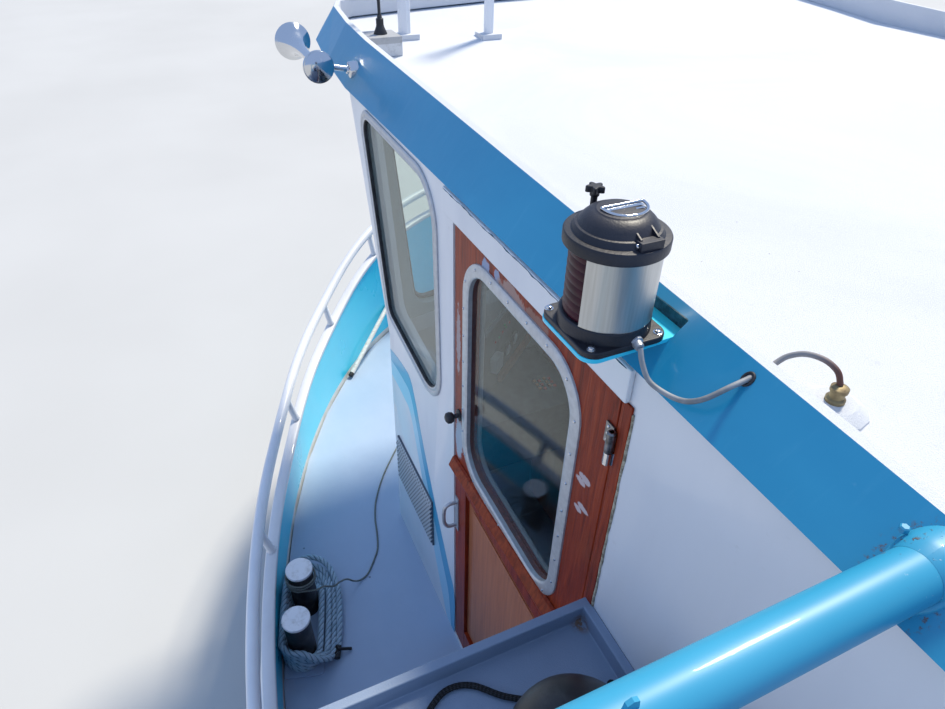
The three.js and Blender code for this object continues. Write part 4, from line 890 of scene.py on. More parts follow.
# Roof and its fascia
# A flat steel roof plate with gritty white non-slip paint inside a sloping blue fascia, whose
# upstand is white within. Posts for aerials stand on it, and a cable's boss with a brass gland.
ROOF_LEVEL, TUBE_X = 2.662, 5.955
MUCK = ((60, 5.0, 0.7), (0.35, 0.65), ((0.015, 0.05, 0.07), (0.05, 0.16, 0.22)))
place = start_material("roof_grit")
grit = place.noise(420, 3.0, 0.8)
stains = place.noise(0.9, 6.0, 0.65, 0.6)
grime = place.noise(26, 5.0, 0.75).between(0.62, 0.8)
roof_tone = stains.between(0.35, 0.75).mix((0.7, 0.715, 0.74), (0.61, 0.63, 0.67))
roof_tone = (grime * 0.35).mix(roof_tone, (0.45, 0.46, 0.48))
spots = place.specks(24, 0.05) * place.noise(2, 2.0).between(0.5, 0.62)
roof_tone = (spots * 0.7).mix(roof_tone, (0.22, 0.19, 0.16))
roof_grit = finish_material(place, roof_tone, grit.between(0.2, 0.9) * 0.2 + 0.62,
                            grit + place.noise(1.8, 3.0) * 1.6, 0.0018)
dressed("roof", roof_grit, white_gloss, bevel=0.002, smooth=30,
        pick=lambda centre, normal: 1 if centre.x > 8.2 and centre.z > 2.75 else 0)

place = start_material("fascia_blue")
sheen = place.stretched(0.6, 1.5, 1.5).noise(2.4, 4.0, 0.55)
streaks = place.stretched(14, 3, 1.2).noise(4.0, 4.0, 0.6).between(0.55, 0.8)
salt = place.noise(42, 4.0, 0.7).between(0.66, 0.8)
blue = sheen.between(0.3, 0.75).mix((0.012, 0.25, 0.45), (0.022, 0.3, 0.51))
blue = (streaks * 0.1).mix(blue, (0.14, 0.46, 0.66))
blue = (salt * 0.12).mix(blue, (0.35, 0.55, 0.66))
root = place.stretched(1, 0, 1).distance((TUBE_X, 0, 2.655))
rust = (1 - root.between(0.04, 0.052)) * place.noise(130, 4.0, 0.7).between(0.52, 0.66)
blue = (rust * 0.85).mix(blue, (0.13, 0.055, 0.025))
niche = place.axis("X").band(6.3735, 6.5305) * place.axis("Z").band(2.6662, 2.7, 0.0005)
blue = niche.mix(blue, place.noise(*MUCK[0]).between(*MUCK[1]).mix(*MUCK[2]))
fascia_blue = finish_material(place, blue, sheen.between(0.3, 0.8) * 0.2 + 0.3, place.noise(3.2, 4.0), 0.004,
                              coat_weight=0.25)
niche_dirt = mottled("niche_dirt", "black_rubber", *MUCK, 0.8, (120, 4.0), 0.002)


def fascia_zone(centre, normal):
    inside = normal.y * centre.y < 0 if abs(centre.y) > 1.15 else normal.x * centre.x < 0
    upstand = inside and abs(normal.z) < 0.5 and centre.z > ROOF_LEVEL
    return 1 if upstand or (normal.z > 0.9 and centre.z > 2.69) else 0


fascia_skin = dressed("roof_fascia", fascia_blue, roof_grit, smooth=180, pick=fascia_zone)
bm = bmesh.new()
bm.from_mesh(fascia_skin.data)
for step in range(36):
    bmesh.ops.bisect_plane(bm, geom=bm.verts[:] + bm.edges[:] + bm.faces[:],
                           plane_co=(5.3 + 0.085 * step, 0, 0), plane_no=(1, 0, 0))
bm.to_mesh(fascia_skin.data)
bm.free()
# The slope's tilt in degrees from one end of its straight part to the other
SLOPE = [(-9.0, 46.0), (5.97, 46.0), (7.0, 37.2), (8.03, 30.4), (8.6, 32.0)]
turned_normals = []
for face in fascia_skin.data.polygons:
    sloped = abs(face.normal.y) > 0.6 and face.normal.z > 0.4 and -6.69 < face.center.x < 8.29
    side = 1 if face.normal.y > 0 else -1
    for corner in face.vertices:
        tilt = math.radians(eased(SLOPE, fascia_skin.data.vertices[corner].co.x, 0.3))
        turned_normals.append((0, side * math.cos(tilt), math.sin(tilt)) if sloped else tuple(face.normal))
fascia_skin.data.normals_split_custom_set(turned_normals)

brass_dull = mottled("brass_dull", "bronze", (60, 4.0), (0.3, 0.7), ((0.36, 0.29, 0.16), (0.16, 0.12, 0.07)),
                     ((40, 3.0), 0.3, 0.38), (200, 2.0), 0.0004, metallic=0.7)
gland = [(0, 2.676), (0.0125, 2.676), (0.0125, 2.683), (0.0095, 2.685), (0.0095, 2.6935), (0.0115, 2.6945),
         (0.0115, 2.7), (0.0062, 2.703), (0, 2.703)]
outward("roof_gland", spun(gland, (6.172, 1.162, 0), sides=24), brass_dull, smooth=35)

# Deckhouse walls
# Welded steel walls in white gloss paint, with a pale and a deep blue flash on the wheelhouse's
# sides, a white rain strip over each side door and cream sealant in the frames.
VENT_PITCH, VENT_RISE = 0.016, 0.0244
place = start_material("vent_grey")
columns, rows = place.axis("X") * (2 * math.pi / VENT_PITCH), place.axis("Z") * (2 * math.pi / VENT_RISE)
# Painted shade: dark spots in a grid at the slats' pitch stand for the shade in the vent's openings.
hole_shade = columns.sine() * rows.sine()
sheet = place.axis("X").band(7.3335, 7.7205) * place.axis("Z").band(1.0325, 1.2865)
vent_tone_with_shade = (hole_shade.between(0.05, 0.45) * 0.8).mix((0.58, 0.62, 0.66), (0.16, 0.18, 0.21))
vent_grey = finish_material(place, sheet.mix((0.1, 0.12, 0.15), vent_tone_with_shade), 0.5, place.noise(120, 3.0),
                            0.0006)
dull_chrome = mottled("dull_chrome", "chrome", (60, 4.0), (0.35, 0.7), ((0.3, 0.3, 0.31), (0.12, 0.11, 0.1)),
                      0.34, metallic=0.9)
place = start_material("chrome_marine")
chrome = finish_material(place, (0.62, 0.63, 0.65), place.noise(22, 4.0).between(0.4, 0.8) * 0.22 + 0.08,
                         place.noise(90, 2.0), 0.0002, metallic=1.0)


def wall_zone(centre, normal):
    if abs(centre.y) > 1.2999 and 6.38 < centre.x < 6.425:
        return 2
    vent = 7.329 < centre.x < 7.726 and 1.029 < centre.z < 1.291
    return 1 if vent and abs(centre.y) > 1.2995 else 0


for side, name in SIDES:
    dressed(f"{name}_wheelhouse_wall", white_gloss, vent_grey, chrome, pick=wall_zone)
    dressed(f"{name}_saloon_wall", white_gloss, bevel=0.0015)
dressed("aft_wall", white_gloss, bevel=0.0015)
dressed("wheelhouse_front", white_gloss, bevel=0.0015)


def flash_paint(name, slot, *tones):
    return mottled(name, slot, (5, 5.0), (0.3, 0.7), tones, 0.3, (14, 3.0), 0.0006, (1, 1, 0.3),
                   coat_weight=0.25)


flash_pale = flash_paint("flash_pale", "cyan_paint", (0.36, 0.68, 0.86), (0.42, 0.73, 0.89))
flash_deep = flash_paint("flash_deep", "blue_paint", (0.03, 0.37, 0.62), (0.05, 0.42, 0.67))
UPPER_EDGE = ((7.7565, 1.722), (7.68, 1.738), (7.6, 1.748), (7.53, 1.742), (7.478, 1.66), (7.42, 1.52),
              (7.295, 1.28), (7.185, 1.09), (7.124, 0.97), (7.124, 0.706))
LOWER_EDGE = ((7.76, 1.594), (7.69, 1.592), (7.62, 1.585), (7.553, 1.565), (7.5, 1.45), (7.43, 1.27),
              (7.372, 1.11), (7.318, 0.962), (7.26, 0.83), (7.205, 0.706))
upper, lower = (flowing([(x, 0, z) for x, z in edge], 6) for edge in (UPPER_EDGE, LOWER_EDGE))
for side, name in SIDES:
    for part, start, end, paint in (("pale", 0.0, 0.56, flash_pale), ("deep", 0.56, 1.0, flash_deep)):
        rings = []
        for low, high in zip(lower, upper):
            a, b = low.lerp(high, start), low.lerp(high, end)
            rings.append([(a.x, 1.3001, a.z), (a.x, 1.3007, a.z), (b.x, 1.3007, b.z), (b.x, 1.3001, b.z)])
        outward(f"{name}_flash_{part}", lofted(rings), paint, smooth=30, side=side)

sealant_cream = mottled("sealant_cream", "white_paint", (70, 5.0, 0.7), (0.35, 0.6),
                        ((0.62, 0.56, 0.42), (0.2, 0.17, 0.12)), 0.6, (90, 4.0), 0.003)


def seam_section(gone):
    return [0.0004 + 0.0011 * abs(math.sin(gone * 31) * math.sin(gone * 87))] * 6


def bead_section(gone):
    return [0.0022 + 0.001 * abs(math.sin(gone * 23))] * 6


dirt_seam = random.Random(4)
for side, name in SIDES:
    strip = solid_box(6.392, 7.165, 1.3002, 1.3115, 2.5445, 2.6115)
    soften(outward(f"{name}_rain_strip", strip, white_gloss, smooth=0, side=side), 0.003, harden=False)
    seam = [Vector((7.16 - 0.018 * i, 1.3118, 2.6085 + dirt_seam.uniform(-0.0015, 0.0015)))
            for i in range(43)]
    outward(f"{name}_rain_strip_seam", skin_round(seam, seam_section), niche_dirt, smooth=60, side=side)
    bead = [Vector((6.3775 + dirt_seam.uniform(-0.0012, 0.0012), 1.3012, 0.73 + 0.02 * i)) for i in range(91)]
    outward(f"{name}_door_sealant", skin_round(bead, bead_section), sealant_cream, smooth=80, side=side)

# Windows
# Toughened glass held in rubber and pale anodised frames with round corners, set on from outside.
place = start_material("glass_pane")
glass_pane = finish_material(place, (0.94, 0.97, 0.96), 0.03, metallic=1.0)
film = place.noise(2.0, 5.0, 0.6).between(0.45, 0.8)
slant = place.node("ShaderNodeLayerWeight", None, {"Blend": 0.5}, out=1)
gloss = 0.03 + 0.6 * slant.math("POWER", slant, 5.0) + film * 0.02
clear = place.node("ShaderNodeBsdfTransparent", None, {"Color": (0.87, 0.91, 0.9)})
mirror = Signal(place.tree, place.tree.nodes["Principled BSDF"].outputs[0])
place.feed(place.tree.nodes["Material Output"].inputs["Surface"],
           place.node("ShaderNodeMixShader", None, {0: gloss, 1: clear, 2: mirror}))
for node in ("port_side_window", "starboard_side_window", "windscreen", "port_saloon_windows",
             "starboard_saloon_windows", "port_door_pane", "starboard_door_pane", "aft_door_pane"):
    dressed(node, glass_pane, smooth=30)

place = start_material("anodised_grey")
brushed = place.noise(70, 4.0, 0.6)
anodised = finish_material(place, brushed.between(0.3, 0.7).mix((0.46, 0.48, 0.51), (0.56, 0.58, 0.61)),
                           brushed * 0.2 + 0.32, brushed, 0.0004, metallic=0.55)
rubber_black = mottled("rubber_black", "black_rubber", (30, 4.0), (0.3, 0.7),
                       ((0.012, 0.012, 0.014), (0.04, 0.04, 0.045)), 0.55, (200, 2.0), 0.0004)
SIDE_WINDOW = [(7.895, 2.585, 0.06), (7.25, 2.575, 0.13), (7.235, 1.835, 0.12), (7.735, 1.9, 0.06)]
window_line = soft_outline(SIDE_WINDOW, 10)
frame_section = [(-0.011, -0.006), (-0.011, 0.003), (-0.008, 0.005), (-0.004, 0.0052), (-0.001, 0.003),
                 (0.003, 0.003), (0.006, 0.0058), (0.015, 0.0058), (0.018, 0.0035), (0.018, -0.0002)]
seal_section = [(-0.0135, -0.009), (-0.0135, 0.0015), (-0.0105, 0.0035), (-0.0105, -0.009)]
on_wall = side_plane(WALL + 0.0004)
window_frame = frame_round(window_line, frame_section, on_wall)
window_seal = frame_round(window_line, seal_section, on_wall)
saloon_frames = [frame_round(soft_box(x, x + 1.55, 1.35, 2.33, 0.11), frame_section, on_wall)
                 for x in (-5.82 + 1.83 * i for i in range(6))]
for side, name in SIDES:
    outward(f"{name}_side_window_frame", window_frame, anodised, side=side)
    outward(f"{name}_side_window_seal", window_seal, rubber_black, side=side)
    outward(f"{name}_saloon_window_frames", saloon_frames, anodised, side=side)

# Doors
# Mahogany frame-and-panel doors: a broad upper part round a pane in a screwed frame, a paler
# recessed panel below, a slanting drip rail between them, dull chrome hinges, a black knob and
# a grey pull. The varnish has gone white in patches.
place = start_material("mahogany_varnished")
grain = place.stretched(9, 9, 0.55).noise(9.0, 6.0, 0.62, 0.7)
pores = place.stretched(70, 70, 3).noise(12.0, 3.0)
wood = grain.ramp((0.28, (0.11, 0.011, 0.004)), (0.48, (0.25, 0.026, 0.007)), (0.66, (0.37, 0.052, 0.013)),
                  (0.8, (0.18, 0.02, 0.006)))
wood = (pores.between(0.55, 0.75) * 0.5).mix(wood, (0.07, 0.016, 0.01))
# Where the varnish has gone: x and z of each patch, its half width and half height, its tone
BARE = [(6.94, 2.505, 0.02, 0.022, (0.34, 0.44, 0.62)), (6.885, 2.512, 0.016, 0.014, (0.34, 0.44, 0.62)),
        (6.815, 2.5, 0.075, 0.026, (0.44, 0.31, 0.27)), (6.7, 2.505, 0.05, 0.018, (0.33, 0.19, 0.15)),
        (7.095, 2.2, 0.014, 0.11, (0.48, 0.42, 0.42)), (7.088, 1.84, 0.03, 0.085, (0.42, 0.56, 0.66)),
        (6.474, 2.282, 0.018, 0.01, (0.62, 0.55, 0.56)), (6.486, 2.266, 0.016, 0.008, (0.62, 0.55, 0.56)),
        (6.466, 2.206, 0.02, 0.009, (0.62, 0.55, 0.56)), (6.48, 2.19, 0.015, 0.008, (0.62, 0.55, 0.56))]
frayed = place.stretched(1, 1, 0.5).noise(42.0, 5.0, 0.75)
bare = 0.0
for x, z, wide, high, tone in BARE:
    u, v = (place.axis("X") - x) / wide, (place.axis("Z") - z) / high
    spot = 1 - (u * u + v * v + frayed * 3.4).between(2.3, 2.75)
    wood = (spot * 0.85).mix(wood, tone)
    bare = spot + bare
edge_fade = place.noise(5, 4.0).between(0.5, 0.8)
wood = (edge_fade * 0.25).mix(wood, (0.45, 0.13, 0.048))
mahogany = finish_material(place, wood, bare * 0.2 + 0.34, grain + pores * 0.3, 0.0009,
                           specular_ior_level=0.14)
place = start_material("mahogany_pale")
grain = place.stretched(10, 10, 0.4).noise(8.0, 6.0, 0.6, 0.5)
wood = grain.ramp((0.25, (0.34, 0.1, 0.04)), (0.5, (0.47, 0.16, 0.07)), (0.75, (0.56, 0.215, 0.1)))
mahogany_pale = finish_material(place, wood, 0.38 + 0.15 * grain, grain, 0.0008, coat_weight=0.08,
                                specular_ior_level=0.35)

pane_line = soft_box(6.535, 7.035, 1.785, 2.475, 0.1, 10)
pane_frame = [(-0.009, -0.008), (-0.009, 0.003), (-0.006, 0.0062), (-0.002, 0.0068), (0.02, 0.006),
              (0.0245, 0.0035), (0.0255, -0.0002)]
OUTER, INNER, HINGES = 1.298, 1.258, (0.98, 1.75, 2.42)
boards = [board_with_window((6.416, 7.119, 1.69, 2.53), pane_line, OUTER, INNER, side_plane(0.0))]
boards += [solid_box(x0, x1, INNER, OUTER, z0, z1) for x0, x1, z0, z1 in (
    (6.416, 6.5, 0.724, 1.69), (7.035, 7.119, 0.724, 1.69), (6.5, 7.035, 0.724, 0.85),
    (6.5, 7.035, 1.64, 1.69))]
panel = [solid_box(6.492, 7.043, 1.268, 1.284, 0.842, 1.648),
         solid_box(6.54, 6.995, 1.284, 1.289, 0.89, 1.6)]
drip_section = ((1.2985, -0.02), (1.318, -0.02), (1.322, -0.012), (1.308, 0.018), (1.2985, 0.024))
drip_ends = ((7.118, 1.722), (6.48, 1.782))
drip_rail = lofted([[(x, y, z + rise) for y, rise in drip_section] for x, z in drip_ends])
leaves = []
for z in HINGES:
    low, high = z + 0.002, z + 0.0475
    barrel = [(0, low), (0.0082, low), (0.0086, low + 0.002), (0.0086, high - 0.003), (0.006, high),
              (0, high)]
    leaves += [spun(barrel, (6.411, 1.309, 0), sides=20), solid_box(6.4165, 6.439, 1.2985, 1.3015, low, high)]
KNOB = [(0, 0.0), (0.018, 0.0), (0.018, 0.004), (0.007, 0.006), (0.0065, 0.018), (0.014, 0.022),
        (0.0175, 0.031), (0.016, 0.04)]
knob = spun([(r, OUTER + h) for r, h in KNOB + [(0.009, 0.045), (0, 0.0455)]], (7.084, 0, 1.939), "Y", 32)
pull = [rod([(7.1, 1.299, 1.54), (7.101, 1.33, 1.538), (7.103, 1.343, 1.52), (7.103, 1.346, 1.484),
             (7.103, 1.343, 1.448), (7.101, 1.33, 1.43), (7.1, 1.299, 1.428)], 0.0065, 14),
        solid_box(7.086, 7.114, 1.2982, 1.3025, 1.405, 1.562)]
frame_outside = frame_round(pane_line, pane_frame, side_plane(1.2982))
frame_inside = frame_round(pane_line, pane_frame, lambda a, b, h: (a, 1.2578 - h, b))
post_strip = solid_box(6.379, 6.401, 1.3002, 1.3045, 0.72, 2.543)
post_edge = solid_box(6.4012, 6.4098, 1.3001, 1.3006, 0.72, 2.543)
for side, name in SIDES:
    door = f"{name}_door"
    on_door = {"body": door, "side": side}
    outward(f"{door}_post_strip", post_strip, mahogany, smooth=30, side=side, edge=0.0015)
    outward(f"{door}_post_edge", post_edge, mahogany, smooth=0, side=side)
    outward(f"{door}_boards", boards, mahogany, replaces=[door], smooth=30, edge=0.0025, **on_door)
    outward(f"{door}_panel", panel, mahogany_pale, smooth=30, edge=0.004, **on_door)
    outward(f"{door}_drip_rail", drip_rail, mahogany, smooth=30, edge=0.0025, **on_door)
    outward(f"{door}_pane_frame", frame_outside, anodised, **on_door)
    outward(f"{door}_pane_frame_inside", frame_inside, anodised, **on_door)
    facing = (-side * math.pi / 2, 0, 0)
    spots = [(p.x, side * 1.305, p.y) for p in spaced(pane_line, 0.012, 0.085)]
    screws(f"{door}_frame_screws", spots, facing, 0.0036, 0.0022, chrome, door)
    outward(f"{door}_hinge_leaves", leaves, dull_chrome, smooth=35, **on_door)
    spots = [(6.4305, side * 1.3022, z + shift) for z in HINGES for shift in (0.01, 0.025, 0.04)]
    screws(f"{door}_hinge_screws", spots, facing, 0.0034, 0.0016, chrome, door)
    outward(f"{door}_knob", knob, rubber_black, slot="black_plastic", smooth=50, **on_door)
    outward(f"{door}_pull", pull, anodised, slot="chrome", smooth=50, **on_door)

# Side lights
# A black moulded base and stepped cap on a bolted flange, a ribbed lens forward and outboard and
# a brushed metal screen behind it. The cap has a wire bail, a hinge block and a star knob.
moulded_black = mottled("moulded_black", "black_plastic", (9, 5.0, 0.6), (0.35, 0.75),
                        ((0.008, 0.008, 0.012), (0.024, 0.024, 0.034)), ((14, 4.0), 0.2, 0.36), (260, 3.0),
                        0.0004)
place = start_material("brushed_metal")
brush = place.stretched(1, 1, 0.03).noise(260, 3.0)
brushed_metal = finish_material(place, brush.between(0.2, 0.8).mix((0.44, 0.44, 0.42), (0.54, 0.54, 0.52)),
                                brush * 0.12 + 0.27, brush, 0.0001, metallic=0.92)
lens_red = mottled("lens_red", "red_lens", (40, 3.0), (0.3, 0.7),
                   ((0.05, 0.001, 0.012), (0.03, 0.001, 0.008)), 0.4, specular_ior_level=0.25)
lens_green = mottled("lens_green", "green_lens", (40, 3.0), (0.3, 0.7),
                     ((0.003, 0.095, 0.045), (0.002, 0.06, 0.03)), 0.28, coat_weight=0.15)
LIGHT_AT, LIGHT_FOOT = Vector((6.44, 1.343, 2.675)), 2.675
base_rows = [(0, 0.006), (0.0698, 0.006), (0.07, 0.0125), (0.069, 0.015), (0.069, 0.028), (0.068, 0.0305),
             (0.0665, 0.0318), (0, 0.0318)]
cap_rows = [(0, 0.1395), (0.0725, 0.1395), (0.0745, 0.141), (0.0745, 0.156), (0.0732, 0.1582), (0.064, 0.159),
            (0.0625, 0.1605), (0.0612, 0.1655), (0.0595, 0.1675), (0.056, 0.1682), (0.0545, 0.1698),
            (0.0505, 0.1765), (0.044, 0.1825), (0.036, 0.1862), (0.034, 0.1866), (0.0325, 0.188),
            (0.02, 0.1895), (0, 0.19)]
core_rows = [(0, 0.031), (0.034, 0.031), (0.034, 0.14), (0, 0.14)]
lens_rows = [(0.043, 0.1385), (0.043, 0.0322)] + [
    (0.0622 + 0.0012 * abs(math.sin(math.pi * k / 8)), 0.0322 + 0.1063 * k / 64) for k in range(65)]
screen_rows = [(0.0615, 0.0315), (0.068, 0.0315), (0.0685, 0.033), (0.068, 0.0345), (0.068, 0.138),
               (0.0615, 0.138)]
stem_rows = [(0, 2.812), (0.005, 2.812), (0.005, 2.85), (0.0072, 2.852), (0.0072, 2.858), (0, 2.858)]
knob_star = []
for k in range(60):
    a = 2 * math.pi * k / 60
    reach = 0.0115 + 0.003 * math.cos(5 * a)
    knob_star.append(Vector((6.5135 + reach * math.cos(a), 1.336 + reach * math.sin(a))))
light_body = [plate(soft_box(6.369, 6.511, 1.272, 1.414, 0.024), LIGHT_FOOT + 0.0002, LIGHT_FOOT + 0.01),
              spun(base_rows, LIGHT_AT, sides=64), spun(cap_rows, LIGHT_AT, sides=72),
              spun(core_rows, LIGHT_AT, sides=24)]
for y in (1.3205, 1.3475):
    rib = [(6.414, y, 2.861), (6.378, y + 0.001, 2.847), (6.376, y + 0.001, 2.833), (6.4, y, 2.833)]
    light_body.append(lofted([rib, [(x, y1 + 0.0035, z) for x, y1, z in rib]]))
light_body += [solid_box(6.371, 6.386, 1.318, 1.3545, 2.8325, 2.8455),
               solid_box(6.505, 6.512, 1.331, 1.341, 2.812, 2.842),
               spun(stem_rows, (6.5135, 1.336, 0), sides=16), plate(knob_star, 2.8575, 2.867)]
under = soft_outline([(6.3745, 1.2378, 0.004), (6.507, 1.2378, 0.004), (6.5125, 1.4152, 0.024),
                      (6.3678, 1.4152, 0.024)], 6)
bow_line = [(6.4475 - 0.033 * math.sin(a) ** 0.8, 1.336 + 0.033 * math.cos(a), 2.8655 - 0.002 * math.sin(a))
            for a in (math.pi * k / 16 for k in range(17))]
bolt_rows = [(0, 2.6848), (0.0072, 2.6848), (0.007, 2.6858), (0.005, 2.6862), (0.0047, 2.6885),
             (0.003, 2.6895), (0, 2.6897)]
fittings = [rod([(6.4475, 1.303, 2.8655), (6.4475, 1.369, 2.8655)], 0.0022, 10, 4),
            rod(bow_line, 0.0022, 10, 2), solid_box(6.4365, 6.4445, 1.308, 1.364, 2.8625, 2.865),
            solid_box(6.429, 6.433, 1.311, 1.361, 2.8625, 2.8645)]
fittings += [spun(bolt_rows, (x, y, 0), sides=20)
             for x, y in ((6.499, 1.402), (6.3835, 1.3995), (6.381, 1.287), (6.499, 1.287))]
fittings.append(spun([(0, 1.354), (0.004, 1.354), (0.004, 1.357), (0.0025, 1.358), (0, 1.358)],
                     (6.3785, 0, 2.839), axis="Y", sides=14))
nose = [Vector(p) for p in ((6.386, 1.3304, 2.6874), (6.377, 1.3313, 2.6862), (6.3765, 1.33135, 2.68613),
                            (6.37, 1.332, 2.6853), (6.3695, 1.33205, 2.68523), (6.3605, 1.333, 2.6841))]
nose_skin = skin_round(nose, stepped((0.0085, 0.0085, 0.0105, 0.0105, 0.0078, 0.0068), 14))
screen = spun(screen_rows, LIGHT_AT, sides=56, first=113, sweep=223)
lens = spun(lens_rows, LIGHT_AT, sides=38, first=-22, sweep=133)
for (side, name), lens_paint in zip(SIDES, (lens_red, lens_green)):
    light = f"{name}_light"
    outward(f"{light}_body", light_body, moulded_black, replaces=[f"{light}_housing"], smooth=35, side=side,
            edge=0.0008)
    outward(f"{light}_bracket", plate(under, 2.6684, 2.6748, 0.0008), bulwark_cyan, smooth=35, side=side)
    outward(f"{light}_screen", screen, brushed_metal, side=side)
    outward(f"{light}_lens_ribs", lens, lens_paint, replaces=[f"{light}_lens"], smooth=25, side=side)
    outward(f"{light}_fittings", fittings, chrome, smooth=45, side=side)
    outward(f"{light}_gland", nose_skin, anodised, side=side)

# Grommet where the cable enters the fascia
loop = [Vector((6.2408 + 0.007 * math.cos(a), 1.248 - 0.0066 * math.sin(a), 2.6896 + 0.007 * math.sin(a)))
        for a in (2 * math.pi * k / 20 for k in range(21))]
for side, name in SIDES:
    outward(f"{name}_grommet", skin_round(loop, plain_round(0.0024, 8)), rubber_black, smooth=70, side=side)

# Guard tubes
# A smooth blue tube from the fascia, with a weld at its root and rust beside it, round a bend and
# down to a flange in the locker's tray. A small lug stands on it.
place = start_material("tube_cyan")
fade = place.stretched(1, 0.6, 1).noise(4.0, 4.0, 0.5)
tube_blue = fade.between(0.3, 0.7).mix((0.026, 0.29, 0.47), (0.045, 0.335, 0.53))
near_root = 1 - place.axis("Y").absolute().between(1.262, 1.35)
rust = near_root * place.noise(90, 4.0, 0.7).between(0.6, 0.66) * place.noise(21, 2.0).between(0.48, 0.56)
chips = near_root * place.noise(120, 3.0, 0.7).between(0.68, 0.72)
tube_blue = (chips * 0.8).mix(tube_blue, (0.55, 0.62, 0.66))
tube_blue = (rust * 0.9).mix(tube_blue, (0.13, 0.06, 0.022))
tube_cyan = finish_material(place, tube_blue, fade * 0.15 + 0.36, place.noise(5, 3.0) + rust * 0.5, 0.0015,
                            coat_weight=0.1)
TUBE_Z, FOOT_Y, BEND = 2.66, 1.89, 0.15
tube_line = [Vector((TUBE_X, 1.233 + 0.0508 * k, TUBE_Z)) for k in range(10)]
tube_line += [Vector((TUBE_X, *p)) for p in arc((FOOT_Y - BEND, TUBE_Z - BEND), BEND, 90, 0, 20)]
tube_line += [Vector((TUBE_X, FOOT_Y, z)) for z in (2.4, 2.3, 2.2, 2.1, 2.0, 1.9555)]
weld_line = []
for x, z in arc((TUBE_X, TUBE_Z), 0.0315, 0, 360, 40):
    weld_line.append(Vector((x, max(min(1.3115, 1.312 - (z - 2.62)), 1.262), z)))
collar_rows = [(0.0302, 1.2335), (0.0378, 1.2335), (0.0378, 1.262), (0.036, 1.272), (0.0302, 1.285)]
flange_rows = [(0, 1.9555), (0.044, 1.9555), (0.044, 1.965), (0.0425, 1.9668), (0, 1.9668)]
foot_rows = [(0.0302, 1.9665), (0.0345, 1.9665), (0.0325, 1.971), (0.0302, 1.974)]
bolt_rows = [(0, 2.6815), (0.0055, 2.6815), (0.0055, 2.687), (0.004, 2.6885), (0, 2.6885)]
lug = ((1.628, 2.686), (1.644, 2.686), (1.642, 2.701), (1.636, 2.704), (1.63, 2.701))
tube_parts = [skin_round(tube_line, plain_round(0.03, 40)),
              skin_round(weld_line, lambda gone: [0.0045 + 0.0008 * math.sin(gone * 900)] * 10),
              spun(collar_rows, (TUBE_X, 0, TUBE_Z), axis="Y", sides=40, sweep=359.99),
              spun(flange_rows, (TUBE_X, FOOT_Y, 0), sides=40),
              spun(foot_rows, (TUBE_X, FOOT_Y, 0), sides=40, sweep=359.99),
              spun(bolt_rows, (5.925, 1.262, 0), sides=6), spun(bolt_rows, (5.99, 1.268, 0), sides=6),
              lofted([[(x, y, z) for y, z in lug] for x in (5.95, 5.9545)])]
for side, name in SIDES:
    outward(f"{name}_guard_tube_skin", tube_parts, tube_cyan, replaces=[f"{name}_guard_tube"], side=side)

# Side lockers and the fender
# Grey-blue steel lockers whose tops are lipped trays, rusty in a corner. The fender is a smooth
# black rubber cylinder with an eye at its after end.
place = start_material("locker_paint")
tone = place.noise(1.6, 5.0, 0.6)
gritty = place.noise(300, 3.0, 0.8)
grey_blue = tone.between(0.3, 0.7).mix((0.2, 0.265, 0.375), (0.245, 0.31, 0.425))
dust = place.noise(30, 5.0, 0.75).between(0.6, 0.8)
grey_blue = (dust * 0.3).mix(grey_blue, (0.3, 0.32, 0.35))
corner = place.distance((6.372, 1.326, 1.957))
rust = (1 - corner.between(0.006, 0.03)) * place.noise(70, 4.0, 0.7).between(0.4, 0.55)
grey_blue = (rust * 0.9).mix(grey_blue, (0.2, 0.1, 0.035))
locker_paint = finish_material(place, grey_blue, gritty * 0.15 + 0.42, gritty + tone * 2, 0.0008,
                               coat_weight=0.1)
for side, name in SIDES:
    dressed(f"{name}_side_locker", locker_paint, bevel=0.003, segments=3)

place = start_material("fender_black")
scuffs = place.stretched(0.4, 1, 1).noise(14, 5.0, 0.7)
rubber_tone = scuffs.between(0.45, 0.8).mix((0.01, 0.01, 0.012), (0.055, 0.053, 0.052))
fender_black = finish_material(place, rubber_tone, scuffs * 0.3 + 0.28, scuffs, 0.0008)
FENDER_RADIUS = 0.118
rows = [(0, 5.4822), (0.019, 5.4822), (0.0225, 5.485), (0.0235, 5.492), (0.0235, 5.518), (0.028, 5.5235)]
rows += arc((0, 5.638), FENDER_RADIUS, -78, 0, 12) + arc((0, 6.125), FENDER_RADIUS, 0, 84, 14) + [(0, 6.2428)]
outward("fender_skin", spun(rows, (0, 1.505, 2.0733), axis="X", sides=56), fender_black, replaces=["fender"],
        smooth=50)

